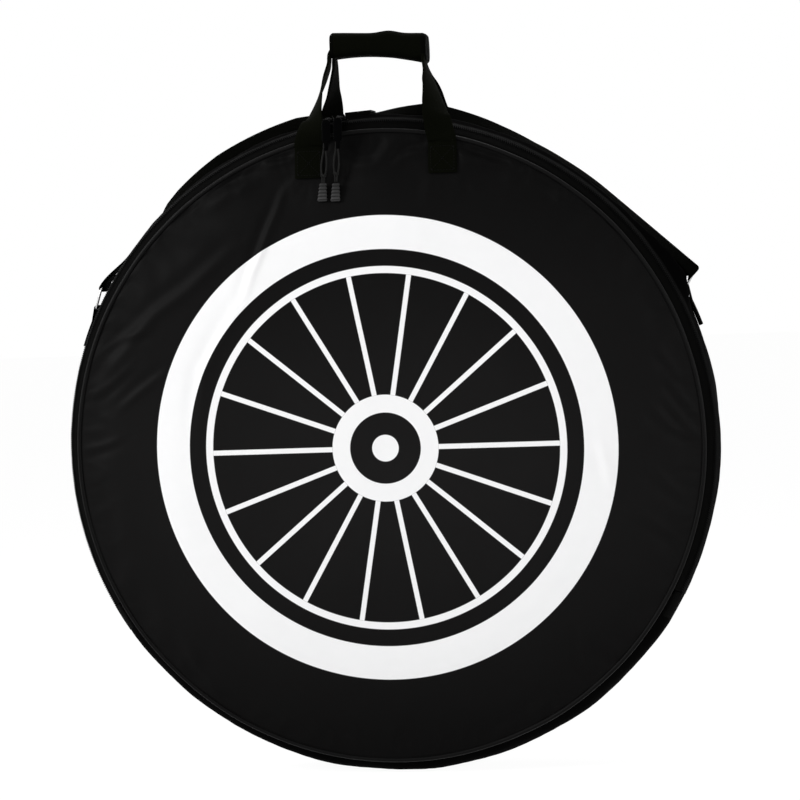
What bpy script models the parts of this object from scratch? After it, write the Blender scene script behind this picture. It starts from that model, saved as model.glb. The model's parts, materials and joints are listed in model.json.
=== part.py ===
"""A padded bag for one bicycle wheel, built from its sewn and moulded pieces.

The bag is a round flat drum standing on its rim. X runs to the right, -Y is the
front and Z is up. The origin lies on the floor under the middle of the rim.
"""

import math

import bmesh
import bpy
from mathutils import Vector

# Overall size
BODY_RADIUS = 0.375
BASE_FLAT = 0.0025
AXIS_Z = BODY_RADIUS - BASE_FLAT
FIT_GAP = 0.0003
ROUND_STEPS = 64

# Front and back panels: a flat middle that falls away to the seam
SEAM_INSET = 0.0205
SEAM_RADIUS = BODY_RADIUS - SEAM_INSET
DOME_WIDTH = 0.1217
FLAT_RADIUS = SEAM_RADIUS - DOME_WIDTH
SEAM_HALF_DEPTH = 0.0455
PANEL_DOME = 0.0145
DOME_RINGS = (0.0, 0.4, 0.75, 1.0)
SKIN_THICKNESS = 0.0015
FOAM_THICKNESS = 0.006
FOAM_INSET = 0.0117
FOAM_RADIUS = SEAM_RADIUS - FOAM_INSET
LINING_THICKNESS = 0.001
LINING_INSET = 0.0077
LINING_RADIUS = SEAM_RADIUS - LINING_INSET
HUB_GUARD_RADIUS = 0.075
HUB_GUARD_THICKNESS = 0.0015

# Piping sewn into the two round seams
PIPING_RADIUS = 0.0025
PIPING_SIDES = 6

# Gusset, the band that joins the two panels
GUSSET_BULGE = 0.0162
GUSSET_SEAM_RADIUS = BODY_RADIUS - GUSSET_BULGE
GUSSET_THICKNESS = 0.0025
GUSSET_POWER = 3
GUSSET_RINGS = (0.0, 0.18, 0.34, 0.5, 0.66, 0.82, 1.0)

# Zipper, just behind the front piping
ZIPPER_HALF_ANGLE = 118.0
ZIPPER_Y = -0.031
TAPE_THICKNESS = 0.0012
TAPE_WIDTH = 0.0095
TAPE_SPLIT = 0.0014
COIL_WIDTH = 0.0024
COIL_HEIGHT = 0.0018
COIL_SPLIT = 0.0004
END_TAB_ANGLE = 4.0
END_TAB_THICKNESS = 0.0015
END_TAB_OFFSET = 0.4

# Two sliders that meet beside the left handle leg, and their pulls
SLIDER_LENGTH = 0.0125
SLIDER_WIDTH = 0.0105
SLIDER_PLATE = 0.0016
BRIDGE_HEIGHT = 0.0058
BRIDGE_LENGTH = 0.0072
BRIDGE_WIDTH = 0.0030
BRIDGE_WALL = 0.0012
BRIDGE_SINK = 0.0004
PULL_CORD_RADIUS = 0.0009
PULL_CORD_SPREAD = 0.0011
PULL_CORD_DROP = 0.0704
PULL_CORD_BEND = 0.005
PULL_END_LENGTH = 0.022
PULL_END_TOP_WIDTH = 0.0085
PULL_END_BOTTOM_WIDTH = 0.0120
PULL_END_DEPTH = 0.0050
PULL_SIDE_GAP = 0.0013
PULL_END_RIBS = 4
PULL_RIB_STEP = 0.0006
PULL_END_OUTLINE = (
    (-1, -0.5),
    (-0.7, -1),
    (0.7, -1),
    (1, -0.5),
    (1, 0.5),
    (0.7, 1),
    (-0.7, 1),
    (-1, 0.5),
)

# Fold of the front panel between the two zipper ends
FOLD_Z = AXIS_Z + BODY_RADIUS * math.cos(math.radians(ZIPPER_HALF_ANGLE))

# Angle at which the gusset's lower piece starts, clear of the door's last bit of tape
JOIN_ANGLE = math.degrees(math.acos((FOLD_Z - AXIS_Z) / (GUSSET_SEAM_RADIUS - TAPE_THICKNESS)))

# Carry handles
WEBBING_WIDTH = 0.032
WEBBING_THICKNESS = 0.0022
FRONT_STANCE = 0.076
REAR_STANCE = 0.069
FRONT_TWISTS = (0.05, 0.12, 0.38, 0.82)
REAR_TWISTS = (0.30, 0.36, 0.62, 0.90)
SEWN_INSET = 0.0135
SEWN_LENGTH = 0.034
SEWN_HIGH = SEAM_RADIUS - SEWN_INSET
SEWN_LOW = SEWN_HIGH - SEWN_LENGTH
LEG_START = SEWN_HIGH + 0.001
GRIP_LENGTH = 0.114
GRIP_HEIGHT = 0.031
GRIP_DEPTH = 0.019
GRIP_RISE = 0.0675
GRIP_BOTTOM = BODY_RADIUS + GRIP_RISE
GRIP_CORNER = 0.009
GRIP_ARCH = 0.004
GRIP_SPLIT = 0.0005
GRIP_END_SCALE = 0.94
RUN_HEIGHT = 0.0122
RUN_OVERHANG = 0.0006
FOLDED_WIDTH = 0.0140
FOLDED_THICKNESS = 0.0042

# Shoulder strap, its rings and tabs
STRAP_Y = 0.012
STRAP_LIFT = 0.0026
STRAP_THICKNESS = 0.0022
STRAP_LEAVE_ANGLE = 42.0
STRAP_TURN_BACK = 0.034
STRAP_TURN_SPACE = 0.009
RING_WIRE_RADIUS = 0.0015
RING_INSIDE_WIDTH = 0.034
RING_BAR_SPACING = 0.024
RING_LIFT = 0.0199
RING_CORNER = 0.004
TAB_FOOT_ANGLE = 7.0
TAB_SHARES = (0.35, 0.65, 1.0)
TAB_THICKNESS = 0.0018
EYE_GAP = 0.0005

# Strap adjuster
ADJUSTER_ANGLE = -3.7
ADJUSTER_LENGTH = 0.030
ADJUSTER_RAIL = 0.0030
ADJUSTER_BAR = 0.0055
ADJUSTER_THICKNESS = 0.0020
ADJUSTER_LOW_BAR = 0.0012
ADJUSTER_SEAT = 0.0005

# How far a cutter reaches past the face it opens
CUT_MARGIN = 0.001
CUT_OVERLAP = 0.0001

BLACK_NYLON = ("black_nylon", (0.010, 0.010, 0.0105), 0.55, 0.0)
BLACK_WEBBING = ("black_webbing", (0.004, 0.004, 0.0035), 0.80, 0.0)
GREY_FOAM = ("grey_foam", (0.20, 0.20, 0.21), 0.95, 0.0)
GREY_LINING = ("grey_lining", (0.045, 0.045, 0.050), 0.70, 0.0)
BLACK_TRIM = ("black_trim", (0.006, 0.006, 0.006), 0.60, 0.0)
ZIPPER_PLASTIC = ("zipper_plastic", (0.015, 0.015, 0.015), 0.40, 0.0)
DARK_METAL = ("dark_metal", (0.05, 0.05, 0.05), 0.35, 0.9)
BRIGHT_METAL = ("bright_metal", (0.60, 0.60, 0.60), 0.22, 1.0)
GREY_RUBBER = ("grey_rubber", (0.055, 0.055, 0.055), 0.60, 0.0)
BLACK_PLASTIC = ("black_plastic", (0.008, 0.008, 0.008), 0.40, 0.0)


def material(look):
    """Return the material of a look, made once."""
    name, colour, roughness, metallic = look
    found = bpy.data.materials.get(name)
    if found:
        return found
    made = bpy.data.materials.new(name)
    made.use_nodes = True
    shader = made.node_tree.nodes["Principled BSDF"]
    shader.inputs["Base Color"].default_value = (*colour, 1)
    shader.inputs["Roughness"].default_value = roughness
    shader.inputs["Metallic"].default_value = metallic
    return made


def add_object(name, mesh_data, look, location=(0, 0, 0), parent=None):
    """Put one mesh in the scene as a named sub-part."""
    mesh = bpy.data.meshes.new(name)
    mesh_data.to_mesh(mesh)
    mesh_data.free()
    mesh.shade_smooth()
    mesh.set_sharp_from_angle(angle=math.radians(35))
    mesh.materials.append(material(look))
    part = bpy.data.objects.new(name, mesh)
    part.location = location
    part.parent = parent
    bpy.context.scene.collection.objects.link(part)
    return part


def skin(sections, closed=False, into=None):
    """Join equal rings of points into one closed body; open ends get flat caps."""
    body = into or bmesh.new()
    rings = []
    for points in sections:
        rings.append([body.verts.new(point) for point in points])
    count = len(rings[0])
    spans = len(rings) if closed else len(rings) - 1
    for i in range(spans):
        low = rings[i]
        high = rings[(i + 1) % len(rings)]
        for j in range(count):
            k = (j + 1) % count
            body.faces.new((low[j], low[k], high[k], high[j]))
    if not closed:
        body.faces.new(rings[0])
        body.faces.new(rings[-1])
    bmesh.ops.recalc_face_normals(body, faces=body.faces)
    return body


def around(radius, y, angle):
    """A point at a radius and angle from the top, clockwise seen from the front."""
    turn = math.radians(angle)
    return Vector((radius * math.sin(turn), y, AXIS_Z + radius * math.cos(turn)))


def ring_points(radius, y, steps=ROUND_STEPS):
    """A full circle of points about the bag's axis."""
    return [around(radius, y, 360 * i / steps) for i in range(steps)]


def cut_level(body, z, keep_above):
    """Cut a closed body at a height and close the cut."""
    side = 1 if keep_above else -1
    geometry = body.verts[:] + body.edges[:] + body.faces[:]
    cut = bmesh.ops.bisect_plane(
        body,
        geom=geometry,
        plane_co=(0, 0, z),
        plane_no=(0, 0, -side),
        clear_outer=True,
        dist=1e-7,
    )
    rim = [item for item in cut["geom_cut"] if isinstance(item, bmesh.types.BMEdge)]
    bmesh.ops.edgeloop_fill(body, edges=rim)
    bmesh.ops.recalc_face_normals(body, faces=body.faces)


def panel_depth(radius):
    """How far the outer face of a panel lies from the middle plane."""
    fall = max(0.0, (radius - FLAT_RADIUS) / (SEAM_RADIUS - FLAT_RADIUS))
    for near, far in zip(DOME_RINGS, DOME_RINGS[1:]):
        if fall <= far or far == DOME_RINGS[-1]:
            share = (fall - near) / (far - near)
            drop = near**2 + (far**2 - near**2) * share
            return SEAM_HALF_DEPTH + PANEL_DOME * (1 - drop)


def gusset_radius(y):
    """Outer radius of the gusset's bulge at a depth."""
    half = SEAM_HALF_DEPTH - PIPING_RADIUS
    bulge = 1 - abs(y / half) ** GUSSET_POWER
    return GUSSET_SEAM_RADIUS + GUSSET_BULGE * bulge


def panel_layer(side, inset, thickness, edge_radius):
    """A domed disc that lies a little way in from the outer face of a panel."""
    radii = [FLAT_RADIUS + (SEAM_RADIUS - FLAT_RADIUS) * share for share in DOME_RINGS[:-1]]
    radii.append(edge_radius)
    rings = []
    for radius in radii:
        rings.append(ring_points(radius, side * (panel_depth(radius) - inset)))
    for radius in reversed(radii):
        rings.append(ring_points(radius, side * (panel_depth(radius) - inset - thickness)))
    return skin(rings)


def arc_band(profile, start, end, steps):
    """Turn a small closed profile of radius and depth points along an arc."""
    rings = []
    for i in range(steps + 1):
        angle = start + (end - start) * i / steps
        rings.append([around(radius, y, angle) for radius, y in profile])
    return skin(rings)


def full_band(profile, steps=ROUND_STEPS):
    """Turn a small closed profile of radius and depth points all the way round."""
    rings = []
    for i in range(steps):
        rings.append([around(radius, y, 360 * i / steps) for radius, y in profile])
    return skin(rings, closed=True)


def box(size, centre, into=None):
    """An upright block."""
    half = Vector(size) / 2
    middle = Vector(centre)
    low = [(-1, -1), (1, -1), (1, 1), (-1, 1)]
    rings = []
    for z in (-1, 1):
        rings.append([middle + Vector((x * half.x, y * half.y, z * half.z)) for x, y in low])
    return skin(rings, into=into)


def tube(path, radius, sides, closed=False, into=None):
    """A round rod along a path of points."""
    points = [Vector(point) for point in path]
    count = len(points)
    rings = []
    lift = None
    for i, point in enumerate(points):
        if closed:
            ahead = points[(i + 1) % count] - points[i - 1]
        else:
            ahead = points[min(i + 1, count - 1)] - points[max(i - 1, 0)]
        ahead.normalize()
        if lift is None:
            guess = Vector((0, 0, 1)) if abs(ahead.z) < 0.9 else Vector((0, 1, 0))
            lift = guess
        lift = (lift - ahead * lift.dot(ahead)).normalized()
        across = ahead.cross(lift)
        ring = []
        for j in range(sides):
            turn = 2 * math.pi * j / sides
            ring.append(point + (lift * math.cos(turn) + across * math.sin(turn)) * radius)
        rings.append(ring)
    return skin(rings, closed=closed, into=into)


def flat_band(path, thickness, width, y):
    """Webbing that follows a path in the XZ plane, its width lying along Y."""
    points = [Vector((x, 0, z)) for x, z in path]
    count = len(points)
    rings = []
    for i, point in enumerate(points):
        ahead = (points[min(i + 1, count - 1)] - points[max(i - 1, 0)]).normalized()
        outward = Vector((-ahead.z, 0, ahead.x)) * thickness / 2
        ring = []
        for way, edge in ((1, -1), (1, 1), (-1, 1), (-1, -1)):
            corner = point + outward * way
            corner.y = y + edge * width / 2
            ring.append(corner)
        rings.append(ring)
    return skin(rings)


def build_panels():
    """Skin, foam and lining of the back, of the door and of the fixed strip under it."""
    layers = (
        ("shell", 0.0, SKIN_THICKNESS, SEAM_RADIUS, BLACK_NYLON),
        ("foam", SKIN_THICKNESS + FIT_GAP, FOAM_THICKNESS, FOAM_RADIUS, GREY_FOAM),
        (
            "lining",
            SKIN_THICKNESS + FOAM_THICKNESS + 2 * FIT_GAP,
            LINING_THICKNESS,
            LINING_RADIUS,
            GREY_LINING,
        ),
    )
    for layer, inset, thickness, edge, look in layers:
        back = panel_layer(1, inset, thickness, edge)
        add_object("back_panel_" + layer, back, look)
        for part, above in (("front_panel_", True), ("lower_front_", False)):
            body = panel_layer(-1, inset, thickness, edge)
            cut_level(body, FOLD_Z + (FIT_GAP / 2 if above else -FIT_GAP / 2), above)
            add_object(part + layer, body, look)


def build_hub_guards():
    """Round stiff patches inside, where the wheel's hub bears on the panels."""
    inset = SKIN_THICKNESS + FOAM_THICKNESS + LINING_THICKNESS + 3 * FIT_GAP
    outer = panel_depth(0) - inset
    for name, side in (("hub_guard_front", -1), ("hub_guard_back", 1)):
        rings = []
        for depth in (outer, outer - HUB_GUARD_THICKNESS):
            rings.append(ring_points(HUB_GUARD_RADIUS, side * depth, 32))
        add_object(name, skin(rings), BLACK_PLASTIC)


def piping_profile(side):
    """Cross-section of the piping cord, just outside the panel's edge."""
    radius = SEAM_RADIUS + FIT_GAP + PIPING_RADIUS
    depth = side * (SEAM_HALF_DEPTH - SKIN_THICKNESS / 2)
    profile = []
    for j in range(PIPING_SIDES):
        turn = 2 * math.pi * j / PIPING_SIDES
        out = PIPING_RADIUS * math.cos(turn)
        along = PIPING_RADIUS * math.sin(turn)
        profile.append((radius + out, depth + along))
    return profile


def build_piping():
    """The piping of the back seam, and the front seam's above and below the fold."""
    add_object("back_piping", full_band(piping_profile(1)), BLACK_TRIM)
    for name, above in (("front_piping_upper", True), ("front_piping_lower", False)):
        body = full_band(piping_profile(-1))
        cut_level(body, FOLD_Z + (FIT_GAP / 2 if above else -FIT_GAP / 2), above)
        add_object(name, body, BLACK_TRIM)


def gusset_profile(front, back, thickness):
    """Cross-section of a stretch of the gusset between two depths."""
    depths = [front + (back - front) * share for share in GUSSET_RINGS]
    outer = [(gusset_radius(y), y) for y in depths]
    inner = [(radius - thickness, y) for radius, y in reversed(outer)]
    return outer + inner


def gusset_edge():
    """Depth at which the gusset and the zipper tape stop beside the piping."""
    return SEAM_HALF_DEPTH - SKIN_THICKNESS / 2 - PIPING_RADIUS - FIT_GAP


def build_gusset():
    """The strip behind the zipper and the full-depth piece under the bag."""
    front = ZIPPER_Y + TAPE_SPLIT / 2 + TAPE_WIDTH + FIT_GAP
    upper = arc_band(
        gusset_profile(front, gusset_edge(), GUSSET_THICKNESS),
        -JOIN_ANGLE,
        JOIN_ANGLE,
        42,
    )
    add_object("gusset_upper", upper, BLACK_NYLON)
    seam = math.degrees(FIT_GAP / GUSSET_SEAM_RADIUS)
    lower = arc_band(
        gusset_profile(-gusset_edge(), gusset_edge(), GUSSET_THICKNESS),
        JOIN_ANGLE + seam,
        360 - JOIN_ANGLE - seam,
        24,
    )
    for vert in lower.verts:
        reach = math.hypot(vert.co.x, vert.co.z - AXIS_Z)
        is_outer = reach > gusset_radius(vert.co.y) - GUSSET_THICKNESS / 2
        vert.co.z = max(vert.co.z, 0.0 if is_outer else GUSSET_THICKNESS)
    add_object("gusset_lower", lower, BLACK_NYLON)


def tape_profile(front, back):
    """Cross-section of one zipper tape, lying in the gusset's bulge."""
    outer = [(gusset_radius(front), front), (gusset_radius(back), back)]
    inner = [(radius - TAPE_THICKNESS, y) for radius, y in reversed(outer)]
    return outer + inner


def coil_profile(front, back):
    """Cross-section of one half of the closed zipper coil, on its tape."""
    near = gusset_radius(front) + FIT_GAP
    far = gusset_radius(back) + FIT_GAP
    return [(near, front), (near + COIL_HEIGHT, front), (far + COIL_HEIGHT, back), (far, back)]


def build_zipper():
    """Two tapes with their coils, and the tabs sewn over the zipper's ends."""
    half_split = TAPE_SPLIT / 2
    half_coil = COIL_SPLIT / 2
    strips = (
        (
            "front",
            tape_profile(-gusset_edge(), ZIPPER_Y - half_split),
            coil_profile(ZIPPER_Y - half_coil - COIL_WIDTH, ZIPPER_Y - half_coil),
        ),
        (
            "rear",
            tape_profile(ZIPPER_Y + half_split, ZIPPER_Y + half_split + TAPE_WIDTH),
            coil_profile(ZIPPER_Y + half_coil, ZIPPER_Y + half_coil + COIL_WIDTH),
        ),
    )
    for name, tape, coil in strips:
        for kind, profile, look in (("tape", tape, BLACK_TRIM), ("coil", coil, ZIPPER_PLASTIC)):
            reach = JOIN_ANGLE + (3 if name == "front" else 0)
            body = arc_band(profile, -reach, reach, 42)
            if name == "front":
                cut_level(body, FOLD_Z + FIT_GAP / 2, True)
            add_object("zipper_" + kind + "_" + name, body, look)
    front = -gusset_edge() + FIT_GAP
    back = ZIPPER_Y + half_split + TAPE_WIDTH
    start = JOIN_ANGLE + END_TAB_OFFSET
    for name, side in (("left", -1), ("right", 1)):
        depths = [front, (front + back) / 2, back]
        low = [(gusset_radius(y) + FIT_GAP, y) for y in depths]
        high = [(radius + END_TAB_THICKNESS, y) for radius, y in reversed(low)]
        body = arc_band(low + high, side * start, side * (start + END_TAB_ANGLE), 3)
        add_object("zipper_end_tab_" + name, body, BLACK_WEBBING)


def at_angle(body, angle):
    """Turn a body made at the top of the rim to its place round the bag."""
    turn = math.radians(angle)
    for vert in body.verts:
        x = vert.co.x
        z = vert.co.z
        vert.co.x = x * math.cos(turn) + z * math.sin(turn)
        vert.co.z = z * math.cos(turn) - x * math.sin(turn)


def plate_radius():
    """Radius of the underside of a slider's plate, clear of the coil and of the tape beside it."""
    coil = gusset_radius(ZIPPER_Y + COIL_SPLIT / 2 + COIL_WIDTH) + FIT_GAP + COIL_HEIGHT
    tape = gusset_radius(ZIPPER_Y + SLIDER_WIDTH / 2)
    return max(coil, tape) + FIT_GAP


def bridge_eye():
    """Radius at which a pull's cord passes through its slider's bridge."""
    return plate_radius() + SLIDER_PLATE + (BRIDGE_HEIGHT - BRIDGE_WALL) / 2


def slider_body():
    """A slider's top plate, and the outline of the bridge on it."""
    plate_low = plate_radius()
    plate_high = plate_low + SLIDER_PLATE
    half = BRIDGE_LENGTH / 2
    body = bmesh.new()
    arch = (
        (-SLIDER_LENGTH / 2, plate_low),
        (SLIDER_LENGTH / 2, plate_low),
        (SLIDER_LENGTH / 2, plate_high),
        (-SLIDER_LENGTH / 2, plate_high),
    )
    plate = [
        [Vector((x, ZIPPER_Y + edge * SLIDER_WIDTH / 2, z)) for x, z in arch] for edge in (-1, 1)
    ]
    skin(plate, into=body)
    top = plate_high + BRIDGE_HEIGHT
    wall = BRIDGE_WALL
    outline = (
        (-half, plate_high),
        (-half, top - wall),
        (-half + wall, top),
        (half - wall, top),
        (half, top - wall),
        (half, plate_high),
        (half - wall, plate_high),
        (half - wall, top - 1.6 * wall),
        (half - 1.6 * wall, top - wall),
        (-half + 1.6 * wall, top - wall),
        (-half + wall, top - 1.6 * wall),
        (-half + wall, plate_high),
    )
    return body, outline


def build_slider(name, angle):
    """One slider, with its origin on the bag's axis."""
    body, outline = slider_body()
    part = add_object(name, body, DARK_METAL, location=(0, 0, AXIS_Z))
    bridge = bmesh.new()
    rings = []
    for edge in (-1, 1):
        ring = []
        for x, z in outline:
            low = z - BRIDGE_SINK if z == outline[0][1] else z
            ring.append(Vector((x, ZIPPER_Y + edge * BRIDGE_WIDTH / 2, low)))
        rings.append(ring)
    skin(rings, into=bridge)
    guide = add_object(name + "_bridge_guide", bridge, DARK_METAL, location=(0, 0, AXIS_Z))
    join = part.modifiers.new("bridge", "BOOLEAN")
    join.operation = "UNION"
    join.object = guide
    guide.hide_render = True
    guide.display_type = "WIRE"
    for item in (part, guide):
        item.rotation_euler.y = math.radians(angle)


def pull_depth():
    """Depth of the middle of a pull's moulded end, which hangs against the front panel."""
    highest = max(abs(angle) for angle in slider_angles())
    eye = bridge_eye() * math.cos(math.radians(highest))
    lowest = eye - PULL_CORD_DROP - FIT_GAP - PULL_END_LENGTH
    return -(panel_depth(lowest) + FIT_GAP + PULL_END_DEPTH / 2)


def pull_route(side):
    """One strand of the pull's cord, from behind the bridge to the moulded end."""
    front = pull_depth()
    back = ZIPPER_Y + BRIDGE_WIDTH / 2 + 2 * PULL_CORD_RADIUS
    x = side * PULL_CORD_SPREAD
    bend = PULL_CORD_BEND
    points = [(x, back, 0), (x, (back + front) / 2, 0), (x, front + bend, 0)]
    for i in range(1, 5):
        turn = math.radians(90 * i / 4)
        points.append((x, front + bend - bend * math.sin(turn), bend * math.cos(turn) - bend))
    points.append((x, front, -PULL_CORD_DROP * 0.6))
    points.append((x, front, -PULL_CORD_DROP))
    return points


def build_pull(name, angle):
    """A looped cord and its moulded end, hanging from one slider's bridge."""
    eye = around(bridge_eye(), 0, angle)
    strands = pull_route(-1) + list(reversed(pull_route(1)))
    hanging = [(-p[0], p[1], p[2]) for p in strands]
    add_object("pull_cord_" + name, tube(hanging, PULL_CORD_RADIUS, 6), BLACK_TRIM, location=eye)
    front = pull_route(1)[-1][1]
    rings = []
    top = -PULL_CORD_DROP - FIT_GAP
    for i in range(2 * PULL_END_RIBS + 1):
        share = i / (2 * PULL_END_RIBS)
        waist = 0 if i % 2 == 0 else PULL_RIB_STEP
        width = PULL_END_TOP_WIDTH + (PULL_END_BOTTOM_WIDTH - PULL_END_TOP_WIDTH) * share
        half = width / 2 - waist
        deep = PULL_END_DEPTH / 2 - waist / 2
        z = top - PULL_END_LENGTH * share
        rings.append([Vector((x * half, front + y * deep, z)) for x, y in PULL_END_OUTLINE])
    add_object("pull_end_" + name, skin(rings), GREY_RUBBER, location=eye)


def slider_angles():
    """Rest angles of the left and the right slider, so that the left pull clears the handle."""
    beside = FRONT_STANCE - WEBBING_WIDTH / 2 - PULL_SIDE_GAP - PULL_END_BOTTOM_WIDTH / 2
    left = -math.degrees(math.asin(beside / bridge_eye()))
    length = math.degrees((SLIDER_LENGTH + 2 * FIT_GAP) / plate_radius())
    return left, left + length


def build_sliders():
    """Both sliders with their pulls."""
    for name, angle in zip(("left", "right"), slider_angles()):
        build_slider("slider_" + name, angle)
        build_pull(name, angle)


def sewn_end(stance, side):
    """The end of a handle's webbing, sewn flat on a panel."""
    rings = []
    for i in range(4):
        z = SEWN_LOW + (SEWN_HIGH - SEWN_LOW) * i / 3
        near = []
        far = []
        for share in (-0.5, -0.17, 0.17, 0.5):
            x = stance + share * WEBBING_WIDTH
            face = panel_depth(math.hypot(x, z)) + FIT_GAP
            near.append(Vector((x, side * face, AXIS_Z + z)))
            far.append(Vector((x, side * (face + WEBBING_THICKNESS), AXIS_Z + z)))
        rings.append(near + list(reversed(far)))
    return skin(rings)


def leg_sections(stance, twists):
    """Half a handle's webbing, from the middle of the grip down to a sewn end.

    Each stop has its middle, how far the webbing has bent down out of the grip, how far
    it has twisted from edge-on to face-on, and how far it is folded up for the grip.
    """
    middle_y = GRIP_DEPTH / 2
    run_z = GRIP_BOTTOM + RUN_HEIGHT
    reach = GRIP_LENGTH / 2
    inner_edge = math.hypot(stance - WEBBING_WIDTH / 2, LEG_START)
    over_panel = panel_depth(inner_edge)
    over_piping = SEAM_HALF_DEPTH - SKIN_THICKNESS / 2 + PIPING_RADIUS
    foot_y = max(over_panel, over_piping) + 2 * FIT_GAP + WEBBING_THICKNESS / 2
    lean = stance - reach
    high, middle, low, turning = twists
    return (
        ((0.0, middle_y, run_z), 0.0, 0.0, 1.0),
        ((reach + RUN_OVERHANG, middle_y, run_z), 0.0, 0.0, 1.0),
        ((reach + 0.0046, middle_y, run_z - 0.0014), 0.45, 0.0, 1.0),
        ((reach + 0.0072, middle_y + 0.0002, run_z - 0.0055), 0.85, 0.0, 0.95),
        ((reach + 0.0082, middle_y + 0.001, run_z - 0.013), 1.0, high / 2, 0.75),
        ((reach + 0.0062 + lean * 0.3, middle_y + 0.010, run_z - 0.036), 1.0, high, 0.15),
        ((reach + lean * 0.75, middle_y + 0.026, run_z - 0.062), 1.0, middle, 0.0),
        ((stance, foot_y - 0.0022, run_z - 0.082), 1.0, low, 0.0),
        ((stance, foot_y + 0.0004, LEG_START + 0.019), 1.0, turning, 0.0),
        ((stance, foot_y + 0.0006, LEG_START + 0.011), 1.0, 1.0, 0.0),
        ((stance, foot_y, LEG_START), 1.0, 1.0, 0.0),
    )


def handle_webbing(stance, side, twists):
    """One handle's webbing: up one leg, folded through the grip and down the other."""
    half = []
    stops = leg_sections(stance, twists)
    centres = [Vector(stop[0]) for stop in stops]
    for i, (centre, bend, twist, fold) in enumerate(stops):
        ahead = (centres[min(i + 1, len(stops) - 1)] - centres[max(i - 1, 0)]).normalized()
        lean = Vector((math.sin(bend * math.pi / 2), 0, math.cos(bend * math.pi / 2)))
        turn = twist * math.pi / 2
        normal = Vector((lean.x * math.cos(turn), math.sin(turn), lean.z))
        normal = (normal - ahead * normal.dot(ahead)).normalized()
        across = normal.cross(ahead)
        width = WEBBING_WIDTH + (FOLDED_WIDTH - WEBBING_WIDTH) * fold
        thick = WEBBING_THICKNESS + (FOLDED_THICKNESS - WEBBING_THICKNESS) * fold
        ring = []
        for a, b in ((-1, -1), (1, -1), (1, 1), (-1, 1)):
            ring.append(Vector(centre) + across * a * width / 2 + normal * b * thick / 2)
        half.append(ring)
    other = [[Vector((-p.x, p.y, p.z)) for p in ring] for ring in half]
    rings = list(reversed(half)) + other[1:]
    placed = [[Vector((p.x, side * p.y, p.z + AXIS_Z)) for p in ring] for ring in rings]
    return skin(placed)


def grip_half(name, side):
    """Half of the padded grip, closed round one handle's webbing."""
    outline = []
    inner = GRIP_SPLIT / 2
    corner = GRIP_CORNER
    outline.append((inner, 0))
    outline.append((GRIP_DEPTH - corner, 0))
    for i in range(1, 4):
        turn = math.radians(30 * i)
        y = GRIP_DEPTH - corner + corner * math.sin(turn)
        outline.append((y, corner - corner * math.cos(turn)))
    for i in range(3):
        turn = math.radians(30 * i)
        y = GRIP_DEPTH - corner + corner * math.cos(turn)
        outline.append((y, GRIP_HEIGHT - corner + corner * math.sin(turn)))
    outline.append((GRIP_DEPTH - corner, GRIP_HEIGHT))
    outline.append((inner, GRIP_HEIGHT))
    rings = []
    for share in (-1, -0.96, -0.6, -0.2, 0.2, 0.6, 0.96, 1):
        x = share * GRIP_LENGTH / 2
        arch = GRIP_ARCH * (1 - share**2)
        shrink = GRIP_END_SCALE if abs(share) == 1 else 1.0
        ring = []
        for y, z in outline:
            lift = arch * (1 - z / GRIP_HEIGHT)
            mid = GRIP_HEIGHT / 2
            tall = mid + (z - mid) * shrink + lift
            ring.append(Vector((x, side * y, AXIS_Z + GRIP_BOTTOM + tall)))
        rings.append(ring)
    part = add_object(name, skin(rings), BLACK_WEBBING)
    room = 2 * FIT_GAP
    channel = box(
        (GRIP_LENGTH + 2 * CUT_MARGIN, FOLDED_WIDTH + room, FOLDED_THICKNESS + room),
        (0, side * GRIP_DEPTH / 2, AXIS_Z + GRIP_BOTTOM + RUN_HEIGHT),
    )
    cutter = add_object(name + "_channel_guide", channel, BLACK_WEBBING)
    cutter.hide_render = True
    cutter.display_type = "WIRE"
    cut = part.modifiers.new("channel", "BOOLEAN")
    cut.operation = "DIFFERENCE"
    cut.object = cutter


def build_handles():
    """Two webbing handles, their sewn ends and the two halves of the grip."""
    handles = (
        ("front", -1, FRONT_STANCE, FRONT_TWISTS),
        ("rear", 1, REAR_STANCE, REAR_TWISTS),
    )
    for place, side, stance, twists in handles:
        for name, way in (("left", -1), ("right", 1)):
            body = sewn_end(way * stance, side)
            add_object("handle_end_" + place + "_" + name, body, BLACK_WEBBING)
        webbing = handle_webbing(stance, side, twists)
        add_object(place + "_handle_webbing", webbing, BLACK_WEBBING)
        grip_half(place + "_grip_half", side)


def strap_radius():
    """Radius of the middle of the strap where it lies over the rim."""
    return BODY_RADIUS + STRAP_LIFT + STRAP_THICKNESS / 2


def inner_bar_radius():
    """How far the ring's inner bar lies from the bag's axis."""
    return BODY_RADIUS + FIT_GAP + TAB_THICKNESS + EYE_GAP + RING_WIRE_RADIUS


def outer_bar():
    """Centre of the ring's bar that the strap turns round, on the right side."""
    leave = math.radians(STRAP_LEAVE_ANGLE)
    level = strap_radius() - RING_WIRE_RADIUS - EYE_GAP - STRAP_THICKNESS / 2
    far = inner_bar_radius() + RING_LIFT
    free_length = math.sqrt(far**2 - level**2)
    x = level * math.sin(leave) + free_length * math.cos(leave)
    z = level * math.cos(leave) - free_length * math.sin(leave)
    return Vector((x, 0, z))


def inner_bar():
    """Centre of the ring's bar that the tab holds close to the rim, on the right side."""
    outer = outer_bar()
    radius = inner_bar_radius()
    far = outer.length
    opening = (far**2 + radius**2 - RING_BAR_SPACING**2) / (2 * far * radius)
    turn = math.atan2(outer.x, outer.z) + math.acos(opening)
    return Vector((radius * math.sin(turn), 0, radius * math.cos(turn)))


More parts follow.
